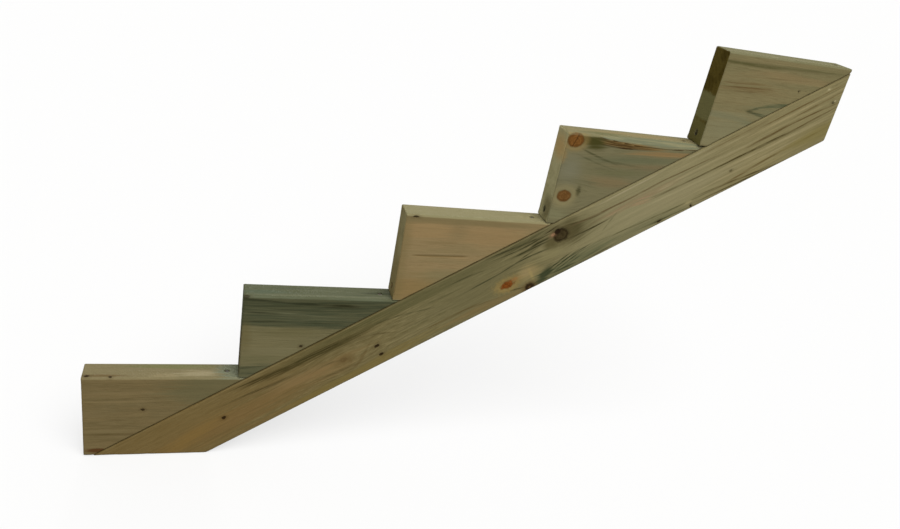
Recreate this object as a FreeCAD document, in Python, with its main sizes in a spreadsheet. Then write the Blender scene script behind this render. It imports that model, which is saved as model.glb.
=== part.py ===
# Stair stringer: a straight carriage board on edge, with five step blocks nailed along its top edge.
# X runs along the stair from the first riser, Y is across the timber from its middle, Z is up from the floor.
import FreeCAD, Part
import os
import Sketcher

# Driving dimensions in millimetres, and degrees for the one angle: alias, value, what it sets.
SIZES = [
    ("timber_thickness", 38, "thickness of the board and of the blocks"),
    ("board_width", 89, "width of the carriage board, measured square to the slope"),
    ("step_rise", 140, "height of a step, the full width of the block timber"),
    ("step_run", 213, "level distance from one riser to the next"),
    ("foot_flat", 12, "level foot that the sloping cut leaves on each block"),
    ("top_overrun", 2.5, "how far the plumb cut stands past the last step"),
    ("edge_round", 3, "eased long edges of the sawn timber"),
    ("saw_clearance", 5, "how far each cutting outline runs past the timber"),
    ("nail_length", 83, "nail from the top of its head to its point"),
    ("nail_shank", 3.3, "diameter of the shank"),
    ("nail_head", 7.2, "diameter of the head"),
    ("nail_head_thickness", 1.3, "thickness of the head"),
    ("nail_point", 5, "length of the four-sided point"),
    ("nail_point_width", 2.2, "side of the square that the point starts from"),
    ("nail_tip_width", 0.4, "side of the square that the point ends in"),
    ("nail_sink", 1.2, "depth of a straight nail's head below the wood"),
    ("skew_nail_sink", 5, "depth of a slanting nail's head, along the nail"),
    ("tread_nail_setback", 16, "tread nail's distance in front of the next riser"),
    ("riser_nail_turn", 45, "slant of a riser nail from upright, in degrees"),
    ("riser_nail_clearance", 0.8, "wood between a riser nail and the end of the foot"),
    ("foot_nail_setback", 80, "foot nail's distance behind the first riser"),
    ("wane_middle", 150, "deepest place of the waney edge, from the riser"),
    ("wane_length", 230, "length over which the waney edge falls away"),
    ("wane_depth", 6.4, "depth of the waney edge, measured from the square corner"),
    ("wane_radius", 22, "roundness of the waney edge across the grain"),
]
STEP_COUNT = 5
WANEY_STEP = 4

# Lengths that follow from the sizes.
PITCH = "sqrt(Sizes.step_run ^ 2 + Sizes.step_rise ^ 2)"
SLOPE = "Sizes.step_rise / Sizes.step_run"
END_X = f"({STEP_COUNT} * Sizes.step_run + Sizes.top_overrun)"
END_SEAM_Z = f"(({END_X} - Sizes.foot_flat) * {SLOPE})"
RISER_NAIL_OFFSET = "(Sizes.nail_shank / 2 + Sizes.riser_nail_clearance)"
RISER_NAIL_Z = (
    f"((Sizes.foot_flat * cos(Sizes.riser_nail_turn) + {RISER_NAIL_OFFSET})"
    " / sin(Sizes.riser_nail_turn))"
)

doc = FreeCAD.newDocument("stair_stringer")
sheet = doc.addObject("Spreadsheet::Sheet", "Sizes")
for row, (alias, number, note) in enumerate(SIZES, 1):
    sheet.set(f"A{row}", note)
    sheet.set(f"B{row}", str(number))
    sheet.setAlias(f"B{row}", alias)
doc.recompute()


def value(expression):
    """The number that an expression on the sheet gives now."""
    result = sheet.evalExpression(expression)
    return float(getattr(result, "Value", result))


def new_body(label, x="0", z="0"):
    """A body of its own, with its place in the stair's plane tied to the sheet."""
    body = doc.addObject("PartDesign::Body", label)
    body.Label = label
    body.setExpression("Placement.Base.x", x)
    body.setExpression("Placement.Base.z", z)
    return body


def on_plane(body, kind, role, name):
    """An empty feature or sketch on one of the body's own origin planes."""
    planes = [feature for feature in body.Origin.OriginFeatures if feature.Role == role]
    feature = body.newObject(kind, name)
    feature.AttachmentSupport = [(planes[0], "")]
    feature.MapMode = "FlatFace"
    return feature


def new_sketch(body, role, name):
    """An empty sketch on one of the body's own origin planes."""
    return on_plane(body, "Sketcher::SketchObject", role, name)


def fix_point(sketch, geometry, end, x=None, y=None):
    """Hold one point of a sketch at its distances from the sketch's origin."""
    for kind, expression in (("DistanceX", x), ("DistanceY", y)):
        if expression is not None:
            rule = Sketcher.Constraint(kind, -1, 1, geometry, end, value(expression))
            sketch.setExpression(f"Constraints[{sketch.addConstraint(rule)}]", expression)


def draw_outline(sketch, corners):
    """A closed outline of straight lines through corners given as pairs of expressions."""
    points = [FreeCAD.Vector(value(x), value(y), 0) for x, y in corners]
    for index, point in enumerate(points):
        following = points[(index + 1) % len(points)]
        sketch.addGeometry(Part.LineSegment(point, following), False)
    for index, (x, y) in enumerate(corners):
        following = (index + 1) % len(corners)
        sketch.addConstraint(Sketcher.Constraint("Coincident", index, 2, following, 1))
        fix_point(sketch, index, 1, x, y)


def pad_section(body, name, section, length, back="0"):
    """Timber of a given section, run forward along the sketch's normal and back from it."""
    pad = body.newObject("PartDesign::Pad", name)
    pad.Profile = section
    pad.SideType = "Two sides"
    pad.setExpression("Length", length)
    pad.setExpression("Length2", back)
    pad.Refine = False
    return pad


def ease_long_edges(body, timber, direction):
    """Round the long edges of sawn timber, the straight ones that run along its grain."""
    doc.recompute()
    names = []
    for number, edge in enumerate(timber.Shape.Edges, 1):
        along = edge.Vertexes[1].Point - edge.Vertexes[0].Point
        if along.cross(direction).Length < 1e-6 * along.Length:
            names.append(f"Edge{number}")
    eased = body.newObject("PartDesign::Fillet", "EasedEdges")
    eased.Base = (timber, names)
    eased.setExpression("Radius", "Sizes.edge_round")
    eased.Refine = False
    return eased


def saw_cut(body, name, corners):
    """Take away everything inside an outline drawn on the side of the timber."""
    sketch = new_sketch(body, "XZ_Plane", f"{name}Outline")
    draw_outline(sketch, corners)
    cut = body.newObject("PartDesign::Pocket", name)
    cut.Profile = sketch
    cut.SideType = "Symmetric"
    cut.setExpression("Length", "Sizes.timber_thickness + 2 * Sizes.saw_clearance")
    cut.Refine = False
    return cut


def nail_sketch(body, name, sink, mouth, end):
    """Half the outline of a nail or its hole on the upright axis: the head from the mouth, then the shank."""
    sketch = new_sketch(body, "XZ_Plane", name)
    head = "Sizes.nail_head / 2"
    shank = "Sizes.nail_shank / 2"
    under_head = f"-{sink} - Sizes.nail_head_thickness"
    draw_outline(sketch, [
        ("0", mouth),
        (head, mouth),
        (head, under_head),
        (shank, under_head),
        (shank, end),
        ("0", end),
    ])
    return sketch


def nail_hole(body, name, x, z, turn, sink):
    """The hole that a nail fills down to its tip, with the well that its sunk head leaves above it."""
    tip = f"-{sink} - Sizes.nail_length"
    sketch = nail_sketch(body, f"{name}Outline", sink, "Sizes.nail_head", tip)
    sketch.AttachmentOffset = FreeCAD.Placement(
        FreeCAD.Vector(0, 0, 0), FreeCAD.Rotation(FreeCAD.Vector(0, 0, 1), value(turn)))
    sketch.setExpression("AttachmentOffset.Base.x", x)
    sketch.setExpression("AttachmentOffset.Base.y", z)
    sketch.setExpression("AttachmentOffset.Rotation.Angle", turn)
    hole = body.newObject("PartDesign::Groove", name)
    hole.Profile = sketch
    hole.ReferenceAxis = (sketch, ["V_Axis"])
    hole.Angle = 360
    hole.Refine = False


def new_nail(name, x, z, turn, sink):
    """One nail with a four-sided point, driven from a place on the wood's surface."""
    body = new_body(name, x, z)
    body.Placement.Rotation = FreeCAD.Rotation(FreeCAD.Vector(0, -1, 0), value(turn))
    body.setExpression("Placement.Rotation.Angle", turn)
    shank_end = f"-{sink} - Sizes.nail_length + Sizes.nail_point"
    shank = body.newObject("PartDesign::Revolution", f"{name}_shank")
    shank.Profile = nail_sketch(body, f"{name}_outline", sink, f"-{sink}", shank_end)
    shank.ReferenceAxis = (shank.Profile[0], ["V_Axis"])
    shank.Angle = 360
    point = on_plane(body, "PartDesign::AdditiveWedge", "XZ_Plane", f"{name}_point")
    point.setExpression("Ymin", f"-{sink} - Sizes.nail_length")
    point.setExpression("Ymax", shank_end)
    for side in ("X", "Z"):
        point.setExpression(f"{side}min", "-Sizes.nail_tip_width / 2")
        point.setExpression(f"{side}max", "Sizes.nail_tip_width / 2")
        point.setExpression(f"{side}2min", "-Sizes.nail_point_width / 2")
        point.setExpression(f"{side}2max", "Sizes.nail_point_width / 2")
    return body


def steps_up(step, along="0", up="0"):
    """A place on one step's block, as distances in the whole stringer."""
    return f"{step - 1} * Sizes.step_run + {along}", f"{step - 1} * Sizes.step_rise + {up}"


def nail_places():
    """Every nail: its group, its step, its place on the step's block, its slant and its sink."""
    tread_x = "Sizes.step_run - Sizes.tread_nail_setback"
    places = []
    for step in range(1, STEP_COUNT + 1):
        places.append(("tread_nails", step, tread_x, "Sizes.step_rise", "0", "Sizes.nail_sink"))
    for step in range(2, STEP_COUNT + 1):
        places.append(("riser_nails", step, "0", RISER_NAIL_Z, "Sizes.riser_nail_turn",
                       "Sizes.skew_nail_sink"))
    places.append(("foot_nail", 1, "Sizes.foot_nail_setback", "0", "180", "Sizes.nail_sink"))
    return places


def carriage_board():
    """Planed timber on the slope, cut level where it stands on the floor and plumb at its top end."""
    body = new_body("carriage_board")
    section = new_sketch(body, "YZ_Plane", "BoardSection")
    section.AttachmentOffset = FreeCAD.Placement(
        FreeCAD.Vector(0, 0, 0), FreeCAD.Rotation(FreeCAD.Vector(1, 0, 0), -value(f"atan({SLOPE})")))
    section.setExpression("AttachmentOffset.Base.z", "Sizes.foot_flat")
    section.setExpression("AttachmentOffset.Rotation.Angle", f"-atan({SLOPE})")
    half = "Sizes.timber_thickness / 2"
    draw_outline(section, [
        (f"-{half}", "0"),
        (half, "0"),
        (half, "-Sizes.board_width"),
        (f"-{half}", "-Sizes.board_width"),
    ])
    seam_length = f"({END_X} - Sizes.foot_flat) * {PITCH} / Sizes.step_run"
    timber = pad_section(body, "BoardTimber", section, f"{seam_length} + Sizes.board_width",
                         "Sizes.board_width")
    grain = FreeCAD.Vector(value("Sizes.step_run"), 0, value("Sizes.step_rise"))
    ease_long_edges(body, timber, grain)
    floor_cut_length = f"Sizes.board_width * {PITCH} / Sizes.step_rise"
    saw_cut(body, "FloorCut", [
        ("-2 * Sizes.board_width", "0"),
        (f"Sizes.foot_flat + 2 * {floor_cut_length}", "0"),
        (f"Sizes.foot_flat + 2 * {floor_cut_length}", "-2 * Sizes.board_width"),
        ("-2 * Sizes.board_width", "-2 * Sizes.board_width"),
    ])
    plumb_cut_length = f"Sizes.board_width * {PITCH} / Sizes.step_run"
    saw_cut(body, "PlumbCut", [
        (END_X, f"{END_SEAM_Z} - 2 * {plumb_cut_length}"),
        (f"{END_X} + 2 * Sizes.board_width", f"{END_SEAM_Z} - 2 * {plumb_cut_length}"),
        (f"{END_X} + 2 * Sizes.board_width", f"{END_SEAM_Z} + 2 * {plumb_cut_length}"),
        (END_X, f"{END_SEAM_Z} + 2 * {plumb_cut_length}"),
    ])
    for group, step, along, up, turn, sink in nail_places():
        x, z = steps_up(step, along, up)
        nail_hole(body, f"Board_{group}_{step}", x, z, turn, sink)
    return body


def waney_edge(body):
    """The round of the log left on the front tread edge, fading out along the grain."""
    sketch = new_sketch(body, "YZ_Plane", "WaneOutline")
    sketch.setExpression("AttachmentOffset.Base.z", "Sizes.wane_middle")
    front = "-Sizes.timber_thickness / 2"
    inset = "(Sizes.wane_depth + Sizes.wane_radius) / sqrt(2)"
    centre_y, centre_z = f"({front} + {inset})", f"(Sizes.step_rise - {inset})"
    left, top = f"{centre_y} - Sizes.wane_radius", f"{centre_z} + Sizes.wane_radius"
    centre = FreeCAD.Vector(value(centre_y), value(centre_z), 0)
    circle = Part.Circle(centre, FreeCAD.Vector(0, 0, 1), value("Sizes.wane_radius"))
    start = FreeCAD.Vector(value(left), value(centre_z), 0)
    finish = FreeCAD.Vector(value(centre_y), value(top), 0)
    corner = FreeCAD.Vector(value(left), value(top), 0)
    quarter = Part.ArcOfCircle(circle, circle.parameter(finish), circle.parameter(start))
    arc = sketch.addGeometry(quarter, False)
    side = sketch.addGeometry(Part.LineSegment(start, corner), False)
    lid = sketch.addGeometry(Part.LineSegment(corner, finish), False)
    sketch.addConstraint(Sketcher.Constraint("Coincident", arc, 2, side, 1))
    sketch.addConstraint(Sketcher.Constraint("Coincident", side, 2, lid, 1))
    sketch.addConstraint(Sketcher.Constraint("Coincident", lid, 2, arc, 1))
    fix_point(sketch, arc, 3, centre_y, centre_z)
    radius = sketch.addConstraint(Sketcher.Constraint("Radius", arc, value("Sizes.wane_radius")))
    sketch.setExpression(f"Constraints[{radius}]", "Sizes.wane_radius")
    fix_point(sketch, arc, 1, x=centre_y)
    fix_point(sketch, arc, 2, y=centre_z)
    fix_point(sketch, lid, 1, left, top)
    # The outline swings about a far axis, so it lifts off the timber towards both ends of the wane.
    swing = "((Sizes.wane_length / 2) ^ 2 + Sizes.wane_depth ^ 2) / (2 * Sizes.wane_depth)"
    reach = f"(({swing} - Sizes.wane_depth) / sqrt(2))"
    near = (f"{front} - {reach}", f"Sizes.step_rise + {reach}")
    far = (f"{near[0]} + Sizes.wane_length", f"{near[1]} + Sizes.wane_length")
    ends = [FreeCAD.Vector(value(y), value(z), 0) for y, z in (near, far)]
    axis = sketch.addGeometry(Part.LineSegment(*ends), True)
    fix_point(sketch, axis, 1, *near)
    fix_point(sketch, axis, 2, *far)
    wane = body.newObject("PartDesign::Groove", "WaneyEdge")
    wane.Profile = sketch
    wane.ReferenceAxis = (sketch, ["Axis0"])
    wane.Angle = 360
    wane.Refine = False


def step_block(step):
    """A short length of planed timber, sawn square at the riser and on the slope below the tread."""
    body = new_body(f"step_block_{step}", *steps_up(step))
    half = "Sizes.timber_thickness / 2"
    corners = [
        (f"-{half}", "0"),
        (half, "0"),
        (half, "Sizes.step_rise"),
        (f"-{half}", "Sizes.step_rise"),
    ]
    # The open tread and the tip below the next block's foot are padded apart, so each has its own face.
    tread_section = new_sketch(body, "YZ_Plane", "TreadSection")
    draw_outline(tread_section, corners)
    pad_section(body, "TreadTimber", tread_section, "Sizes.step_run")
    tip_section = new_sketch(body, "YZ_Plane", "TipSection")
    tip_section.setExpression("AttachmentOffset.Base.z", "Sizes.step_run")
    draw_outline(tip_section, corners)
    timber = pad_section(body, "TipTimber", tip_section, "2 * Sizes.foot_flat")
    ease_long_edges(body, timber, FreeCAD.Vector(1, 0, 0))
    below, above = "-Sizes.saw_clearance", "Sizes.step_rise + Sizes.saw_clearance"
    past_tip = "Sizes.step_run + 2 * Sizes.foot_flat + 2 * Sizes.saw_clearance / (" + SLOPE + ")"
    saw_cut(body, "SlopeCut", [
        (f"Sizes.foot_flat - Sizes.saw_clearance / ({SLOPE})", below),
        (past_tip, below),
        (past_tip, above),
        (f"Sizes.foot_flat + (Sizes.step_rise + Sizes.saw_clearance) / ({SLOPE})", above),
    ])
    if step == STEP_COUNT:
        saw_cut(body, "PlumbCut", [
            ("Sizes.step_run + Sizes.top_overrun", below),
            (past_tip, below),
            (past_tip, above),
            ("Sizes.step_run + Sizes.top_overrun", above),
        ])
    if step == WANEY_STEP:
        waney_edge(body)
    for group, nailed_step, along, up, turn, sink in nail_places():
        if nailed_step == step:
            nail_hole(body, f"Block_{group}_{step}", along, up, turn, sink)
    return body


def nail_groups():
    """The nails, gathered into one object for each way that they are driven."""
    nails = {}
    for group, step, along, up, turn, sink in nail_places():
        nail = new_nail(f"{group}_{step}", *steps_up(step, along, up), turn, sink)
        nails.setdefault(group, []).append(nail)
    groups = []
    for label, members in nails.items():
        group = doc.addObject("Part::Compound", label)
        group.Label = label
        group.Links = members
        groups.append(group)
    return groups


parts = [carriage_board()]
parts += [step_block(step) for step in range(1, STEP_COUNT + 1)]
parts += nail_groups()
doc.recompute()

for item in doc.Objects:
    if "Invalid" in item.State or "Error" in item.State:
        raise RuntimeError(f"{item.Label} did not build: {item.State}")
for part in parts:
    if part.Shape.isNull() or not part.Shape.isValid():
        raise RuntimeError(f"{part.Label} has no valid shape")

os.makedirs("parts", exist_ok=True)
for part in parts:
    part.Shape.exportStep(f"parts/{part.Label}.step")
    print(part.Label, len(part.Shape.Solids), "solid", round(part.Shape.Volume), "mm3")
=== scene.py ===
import math
from types import SimpleNamespace

import bpy
import numpy as np
from mathutils import Euler, Matrix, Vector


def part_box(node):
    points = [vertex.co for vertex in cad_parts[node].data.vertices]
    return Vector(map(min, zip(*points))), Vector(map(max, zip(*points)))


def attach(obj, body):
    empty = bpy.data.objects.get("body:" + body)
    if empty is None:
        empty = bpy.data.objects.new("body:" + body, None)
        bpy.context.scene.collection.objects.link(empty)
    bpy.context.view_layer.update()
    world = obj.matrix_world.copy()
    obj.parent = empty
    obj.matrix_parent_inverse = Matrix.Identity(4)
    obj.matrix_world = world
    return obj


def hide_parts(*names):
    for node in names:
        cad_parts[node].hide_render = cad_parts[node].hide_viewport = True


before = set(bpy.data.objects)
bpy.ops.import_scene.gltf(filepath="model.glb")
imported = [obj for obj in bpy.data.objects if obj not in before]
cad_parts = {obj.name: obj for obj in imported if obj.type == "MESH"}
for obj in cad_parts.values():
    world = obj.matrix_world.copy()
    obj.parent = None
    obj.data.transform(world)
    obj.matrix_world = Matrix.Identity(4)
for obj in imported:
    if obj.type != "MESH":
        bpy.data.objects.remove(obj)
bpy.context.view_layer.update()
print("frame loaded:", ", ".join(sorted(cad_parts)))

mm = 0.001
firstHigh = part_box("step_block_1")[1]
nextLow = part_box("step_block_2")[0]
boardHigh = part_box("carriage_board")[1]

stair = {  # millimetres, read from the frame where it holds them
    "halfThick": firstHigh.y / mm,
    "rise": firstHigh.z / mm,
    "run": nextLow.x / mm,
    "footFlat": (firstHigh.x - nextLow.x) / mm,
    "endX": boardHigh.x / mm,
    "boardWidth": 89,
    "edgeRound": 3,
    "steps": 5,
}
slope = stair["rise"] / stair["run"]
lean = math.atan(slope)  # the board's angle from level


def paint(red, green, blue):  # a colour seen on screen, 0 to 255, as the shader's linear colour
    shares = [part / 255 for part in (red, green, blue)]
    linear = [part / 12.92 if part <= 0.04045 else ((part + 0.055) / 1.055) ** 2.4 for part in shares]
    return (*linear, 1)


def tones(**shades):  # named colours, painted
    return {label: paint(*shade) for label, shade in shades.items()}


def addObject(name, data):
    thing = bpy.data.objects.new(name, data)
    bpy.context.scene.collection.objects.link(thing)
    return thing


# Node wiring: a Wire is one output socket, and sums on it add Math nodes

def joined(operation, swapped=False):  # a method that adds a Math node of two inputs
    def method(self, value):
        return self.maths(operation, *((value, self) if swapped else (self, value)))
    return method


class Wire:
    def __init__(self, tree, socket=None):
        self.tree, self.socket = tree, socket

    def make(self, kind, settings=None, sockets=None, out=0):  # any node: settings first, then sockets
        node = self.tree.nodes.new(kind)
        for key, value in (settings or {}).items():
            if key == "items":  # how many entries an index switch has
                while len(node.index_switch_items) < value:
                    node.index_switch_items.new()
            else:
                setattr(node, key, value)
        for key, value in (sockets or {}).items():
            if isinstance(value, Wire):
                self.tree.links.new(value.socket, node.inputs[key])
            else:
                node.inputs[key].default_value = value
        return Wire(self.tree, node.outputs[out])

    def other(self, name):  # another output of the same node
        return Wire(self.tree, self.socket.node.outputs[name])

    def maths(self, operation, *values):
        return self.make("ShaderNodeMath", {"operation": operation}, dict(enumerate(values)))

    __add__ = __radd__ = joined("ADD")
    __sub__, __rsub__ = joined("SUBTRACT"), joined("SUBTRACT", swapped=True)
    __mul__ = __rmul__ = joined("MULTIPLY")
    __truediv__, __rtruediv__ = joined("DIVIDE"), joined("DIVIDE", swapped=True)
    __pow__, least, most = joined("POWER"), joined("MINIMUM"), joined("MAXIMUM")

    def __neg__(self):
        return self * -1

    def exp(self):
        return self.maths("EXPONENT", self)

    def fract(self):
        return self.maths("FRACT", self)

    def size(self):
        return self.maths("ABSOLUTE", self)

    def length(self, second):  # of two sides at right angles
        return (self * self + second * second) ** 0.5

    def bell(self):  # 1 at nought, falling away on both sides
        return (-(self * self)).exp()

    def rise(self, low, high):  # 0 below low, 1 above high, smooth between
        names = {"Value": self, "From Min": low, "From Max": high}
        return self.make("ShaderNodeMapRange", {"interpolation_type": "SMOOTHSTEP"}, names)

    def vector(self, x, y, z):
        return self.make("ShaderNodeCombineXYZ", None, {"X": x, "Y": y, "Z": z})

    def noise(self, x, y, z, detail=2.0, rough=0.5):
        sockets = {"Vector": self.vector(x, y, z), "Scale": 1.0, "Detail": detail, "Roughness": rough}
        return self.make("ShaderNodeTexNoise", None, sockets)

    def blend(self, factor, first, second):  # colours
        settings = {"data_type": "RGBA", "clamp_factor": True}
        return self.make("ShaderNodeMix", settings, {0: factor, 6: first, 7: second}, out=2)

    def shade(self, factor):  # a colour made lighter or darker by a value
        settings = {"operation": "SCALE"}
        return self.make("ShaderNodeVectorMath", settings, {0: self, "Scale": factor})


def newMaterial(name):
    material = bpy.data.materials.new(name)
    material.use_nodes = True
    tree = material.node_tree
    return material, Wire(tree), tree.nodes["Principled BSDF"]


def feed(wire, socket):
    wire.tree.links.new(wire.socket, socket)


# Timber: a rounded section run along the grain and cut at both ends, in the timber's own millimetres

weather = {
    "step": 2.1, "fine": 0.75,  # usual spacing of the mesh, and close to a nail, a check or an arris
    "arrisFine": 1.4,  # how far the fine spacing reaches from an arris, in edge radii
    "cutFine": 2.5, "markFine": 4, "nailFine": 6, "riserFine": 7,  # and from other places, in millimetres
    "samples": 3000, "sharpAngle": 38, "seed": 41,
    "wave": 0.30, "waveCell": (120, 40, 38),  # slow hollows of the planed faces
    "ridge": 0.07, "ridgeCell": (55, 3.4, 3.4),  # grain that stands up between the soft rings
    "saw": 0.22, "sawCell": (9, 12, 2.6), "sawReach": 0.4,  # ripple of a sawn end
    "nick": 0.85, "nickCell": (13, 7, 13), "nickReach": 1.3, "nickFrom": 0.3,  # knocks along an arris
    "ease": 1.0, "easeReach": 1.0, "footHeight": 5,  # how much a sawn edge is worn back
    "faceReach": 1.5,  # how deep the front face's marks go in
    "knotRim": 1.8, "knotHollow": 0.6, "spotReach": 0.75, "checkEnd": 12,  # and how far they spread on it
}


def spread(low, high, step, marks):  # positions from low to high, closer together at the marks
    spots = np.linspace(low, high, weather["samples"])
    crowd = np.full_like(spots, 1 / step)
    for mark, reach in marks:
        crowd = np.maximum(crowd, np.exp(-((spots - mark) / reach) ** 4) / weather["fine"])
    count = np.concatenate([[0], np.cumsum((crowd[1:] + crowd[:-1]) / 2 * np.diff(spots))])
    return np.interp(np.linspace(0, count[-1], int(round(count[-1])) + 1), count, spots)


def lattice(points, seed):  # smooth noise from -1 to 1
    draw = np.random.default_rng(seed)
    count = 512  # of random heights
    table, heights = draw.permutation(count), draw.uniform(-1, 1, count)
    cell = np.floor(points).astype(int)
    part = points - cell
    fade = part * part * (3 - 2 * part)
    total = np.zeros(len(points))
    for corner in np.ndindex(2, 2, 2):
        at = cell + corner
        key = table[(table[(table[at[:, 0] % count] + at[:, 1]) % count] + at[:, 2]) % count]
        total += heights[key] * np.prod(np.where(corner, fade, 1 - fade), axis=1)
    return total


def sectionGrid(timber):  # the rounded section, filled with a grid of points
    half, low, high, step = stair["halfThick"], timber["low"], timber["high"], weather["step"]
    arris = weather["arrisFine"] * stair["edgeRound"]
    across = spread(-half, half, step, [(-half, arris), (half, arris), (0, weather["nailFine"])])
    up = spread(low, high, step, [(low, arris), (high, arris), *timber["upMarks"]])
    y, w = np.meshgrid(across, up, indexing="ij")
    edge = np.where(w < (low + high) / 2, timber["lowRound"], stair["edgeRound"])
    inset = np.minimum(half - np.abs(y), np.minimum(w - low, high - w))
    middleY, middleW = np.clip(y, edge - half, half - edge), np.clip(w, low + edge, high - edge)
    out = np.hypot(y - middleY, w - middleW)
    reach = np.maximum(edge - inset, 0)
    pull = np.where(out > reach, reach / np.maximum(out, 1e-9), 1)
    return middleY + (y - middleY) * pull, middleW + (w - middleW) * pull


def timberShape(timber):  # points and faces: both sawn ends, and the rings between them
    y, w = sectionGrid(timber)
    rows, columns = y.shape
    number = np.arange(rows * columns).reshape(rows, columns)
    loop = np.concatenate([number[0, :-1], number[:-1, -1], number[-1, :0:-1], number[:0:-1, 0]])
    flatY, flatW = y.ravel(), w.ravel()
    start, end = timber["start"](flatW), timber["end"](flatW)
    longest = (end - start).max()
    marks = [(0, weather["cutFine"]), (longest, weather["cutFine"]), *timber["alongMarks"]]
    shares = spread(0, longest, timber["alongStep"], marks) / longest
    cap = len(flatY)
    points = [np.c_[start, flatY, flatW], np.c_[end, flatY, flatW]]
    rings = [loop]
    for share in shares[1:-1]:
        along = start[loop] + share * (end[loop] - start[loop])
        points.append(np.c_[along, flatY[loop], flatW[loop]])
        rings.append(2 * cap + (len(rings) - 1) * len(loop) + np.arange(len(loop)))
    rings.append(loop + cap)
    faces = []
    for near, far in zip(rings[:-1], rings[1:]):
        faces.append(np.c_[near, far, np.roll(far, -1), np.roll(near, -1)])
    corners = (number[:-1, :-1], number[1:, :-1], number[1:, 1:], number[:-1, 1:])
    a, b, c, d = (corner.ravel() for corner in corners)
    faces.append(np.c_[a, d, c, b])
    faces.append(np.c_[a, b, c, d] + cap)
    return np.concatenate(points), np.concatenate(faces)


def edgeDistance(points, timber):  # how far each point is from the nearest arris
    along, across, up = points.T
    toSide = stair["halfThick"] - np.abs(across)
    toLong = np.minimum(up - timber["low"], timber["high"] - up)
    startTilt, endTilt = timber["cutTilt"]  # from a distance along the grain to one square to the cut
    toCut = np.minimum((along - timber["start"](up)) * startTilt, (timber["end"](up) - along) * endTilt)
    return np.sort(np.abs(np.c_[toSide, toLong, toCut]), axis=1)[:, 1], np.abs(toCut)


def age(points, normals, timber):  # planed, sawn and knocked surfaces, all of it inside the square timber
    along, across, up = points.T
    seed = weather["seed"] + 10 * timber["seed"]
    edge, cut = edgeDistance(points, timber)

    def uneven(label, shift):  # from 0 to 1
        return 0.5 + 0.5 * lattice(points / weather[label + "Cell"], seed + shift)

    side = np.clip(cut / weather["sawReach"], 0, 1)
    depth = weather["wave"] * uneven("wave", 0)
    depth += weather["ridge"] * side * uneven("ridge", 1)
    depth += weather["saw"] * (1 - side) * uneven("saw", 2)
    knocks = np.clip(lattice(points / weather["nickCell"], seed + 3) - weather["nickFrom"], 0, 1)
    depth += weather["nick"] * np.exp(-(edge / weather["nickReach"]) ** 2) * knocks
    foot = np.where(up < timber["low"] + weather["footHeight"], timber["footEase"], 1)
    depth += weather["ease"] * foot * np.exp(-(edge / weather["easeReach"]) ** 2)
    face = np.exp(-((across + stair["halfThick"]) / weather["faceReach"]) ** 2)  # the front face alone
    for knot in timber["knots"]:
        gap = np.hypot((along - knot["at"][0]) / knot["stretch"], up - knot["at"][1])
        depth += knot["dip"] * face * np.exp(-((gap - knot["size"]) / weather["knotRim"]) ** 2)
        depth += knot["hollow"] * face * np.exp(-(gap / (weather["knotHollow"] * knot["size"])) ** 2)
    for spot in timber["spots"]:
        gap = np.hypot((along - spot["at"][0]) / spot["stretch"], up - spot["at"][1])
        depth += spot["deep"] * face * np.exp(-(gap / (weather["spotReach"] * spot["size"])) ** 4)
    for check in timber["checks"]:
        begun, left = along - check["from"], check["to"] - along
        middle = check["up"] + check["climb"] * begun
        reach = np.clip(begun / weather["checkEnd"], 0, 1) * np.clip(left / weather["checkEnd"], 0, 1)
        depth += check["deep"] * face * reach * np.exp(-((up - middle) / check["wide"]) ** 2)
    moved = points - normals * depth[:, None]
    moved[:, 2] = np.clip(moved[:, 2], timber["low"], timber["high"])  # a sharp toe is thinner than its wear
    moved[:, 0] = np.clip(moved[:, 0], timber["start"](moved[:, 2]), timber["end"](moved[:, 2]))
    return moved


wellShape = {  # millimetres from the face, then shares of the radius: points drawn to the rim and to the wall
    "near": 1.2, "rimFrom": 1.3, "rimTo": 1.03, "wallFrom": 0.72, "wallTo": 0.97,
}


def sinkWell(points, well):  # the hole that a sunk nail head leaves
    place, axis, outward = (np.array(well[label]) for label in ("place", "axis", "outward"))
    radius, depth = well["radius"], well["depth"]
    offset = points - place
    run = offset @ axis
    gap = np.linalg.norm(offset - run[:, None] * axis, axis=1)
    near = np.abs(offset @ outward) < wellShape["near"]
    rim = near & (gap >= radius) & (gap < wellShape["rimFrom"] * radius)
    points[rim] = place + offset[rim] * (wellShape["rimTo"] * radius / gap[rim])[:, None]
    wall = near & (gap >= wellShape["wallFrom"] * radius) & (gap < radius)
    offset[wall] *= (wellShape["wallTo"] * radius / gap[wall])[:, None]
    inside = near & (gap < radius)
    run = offset @ axis
    points[inside] = place + offset[inside] + (depth - run[inside])[:, None] * axis
    return points


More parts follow.
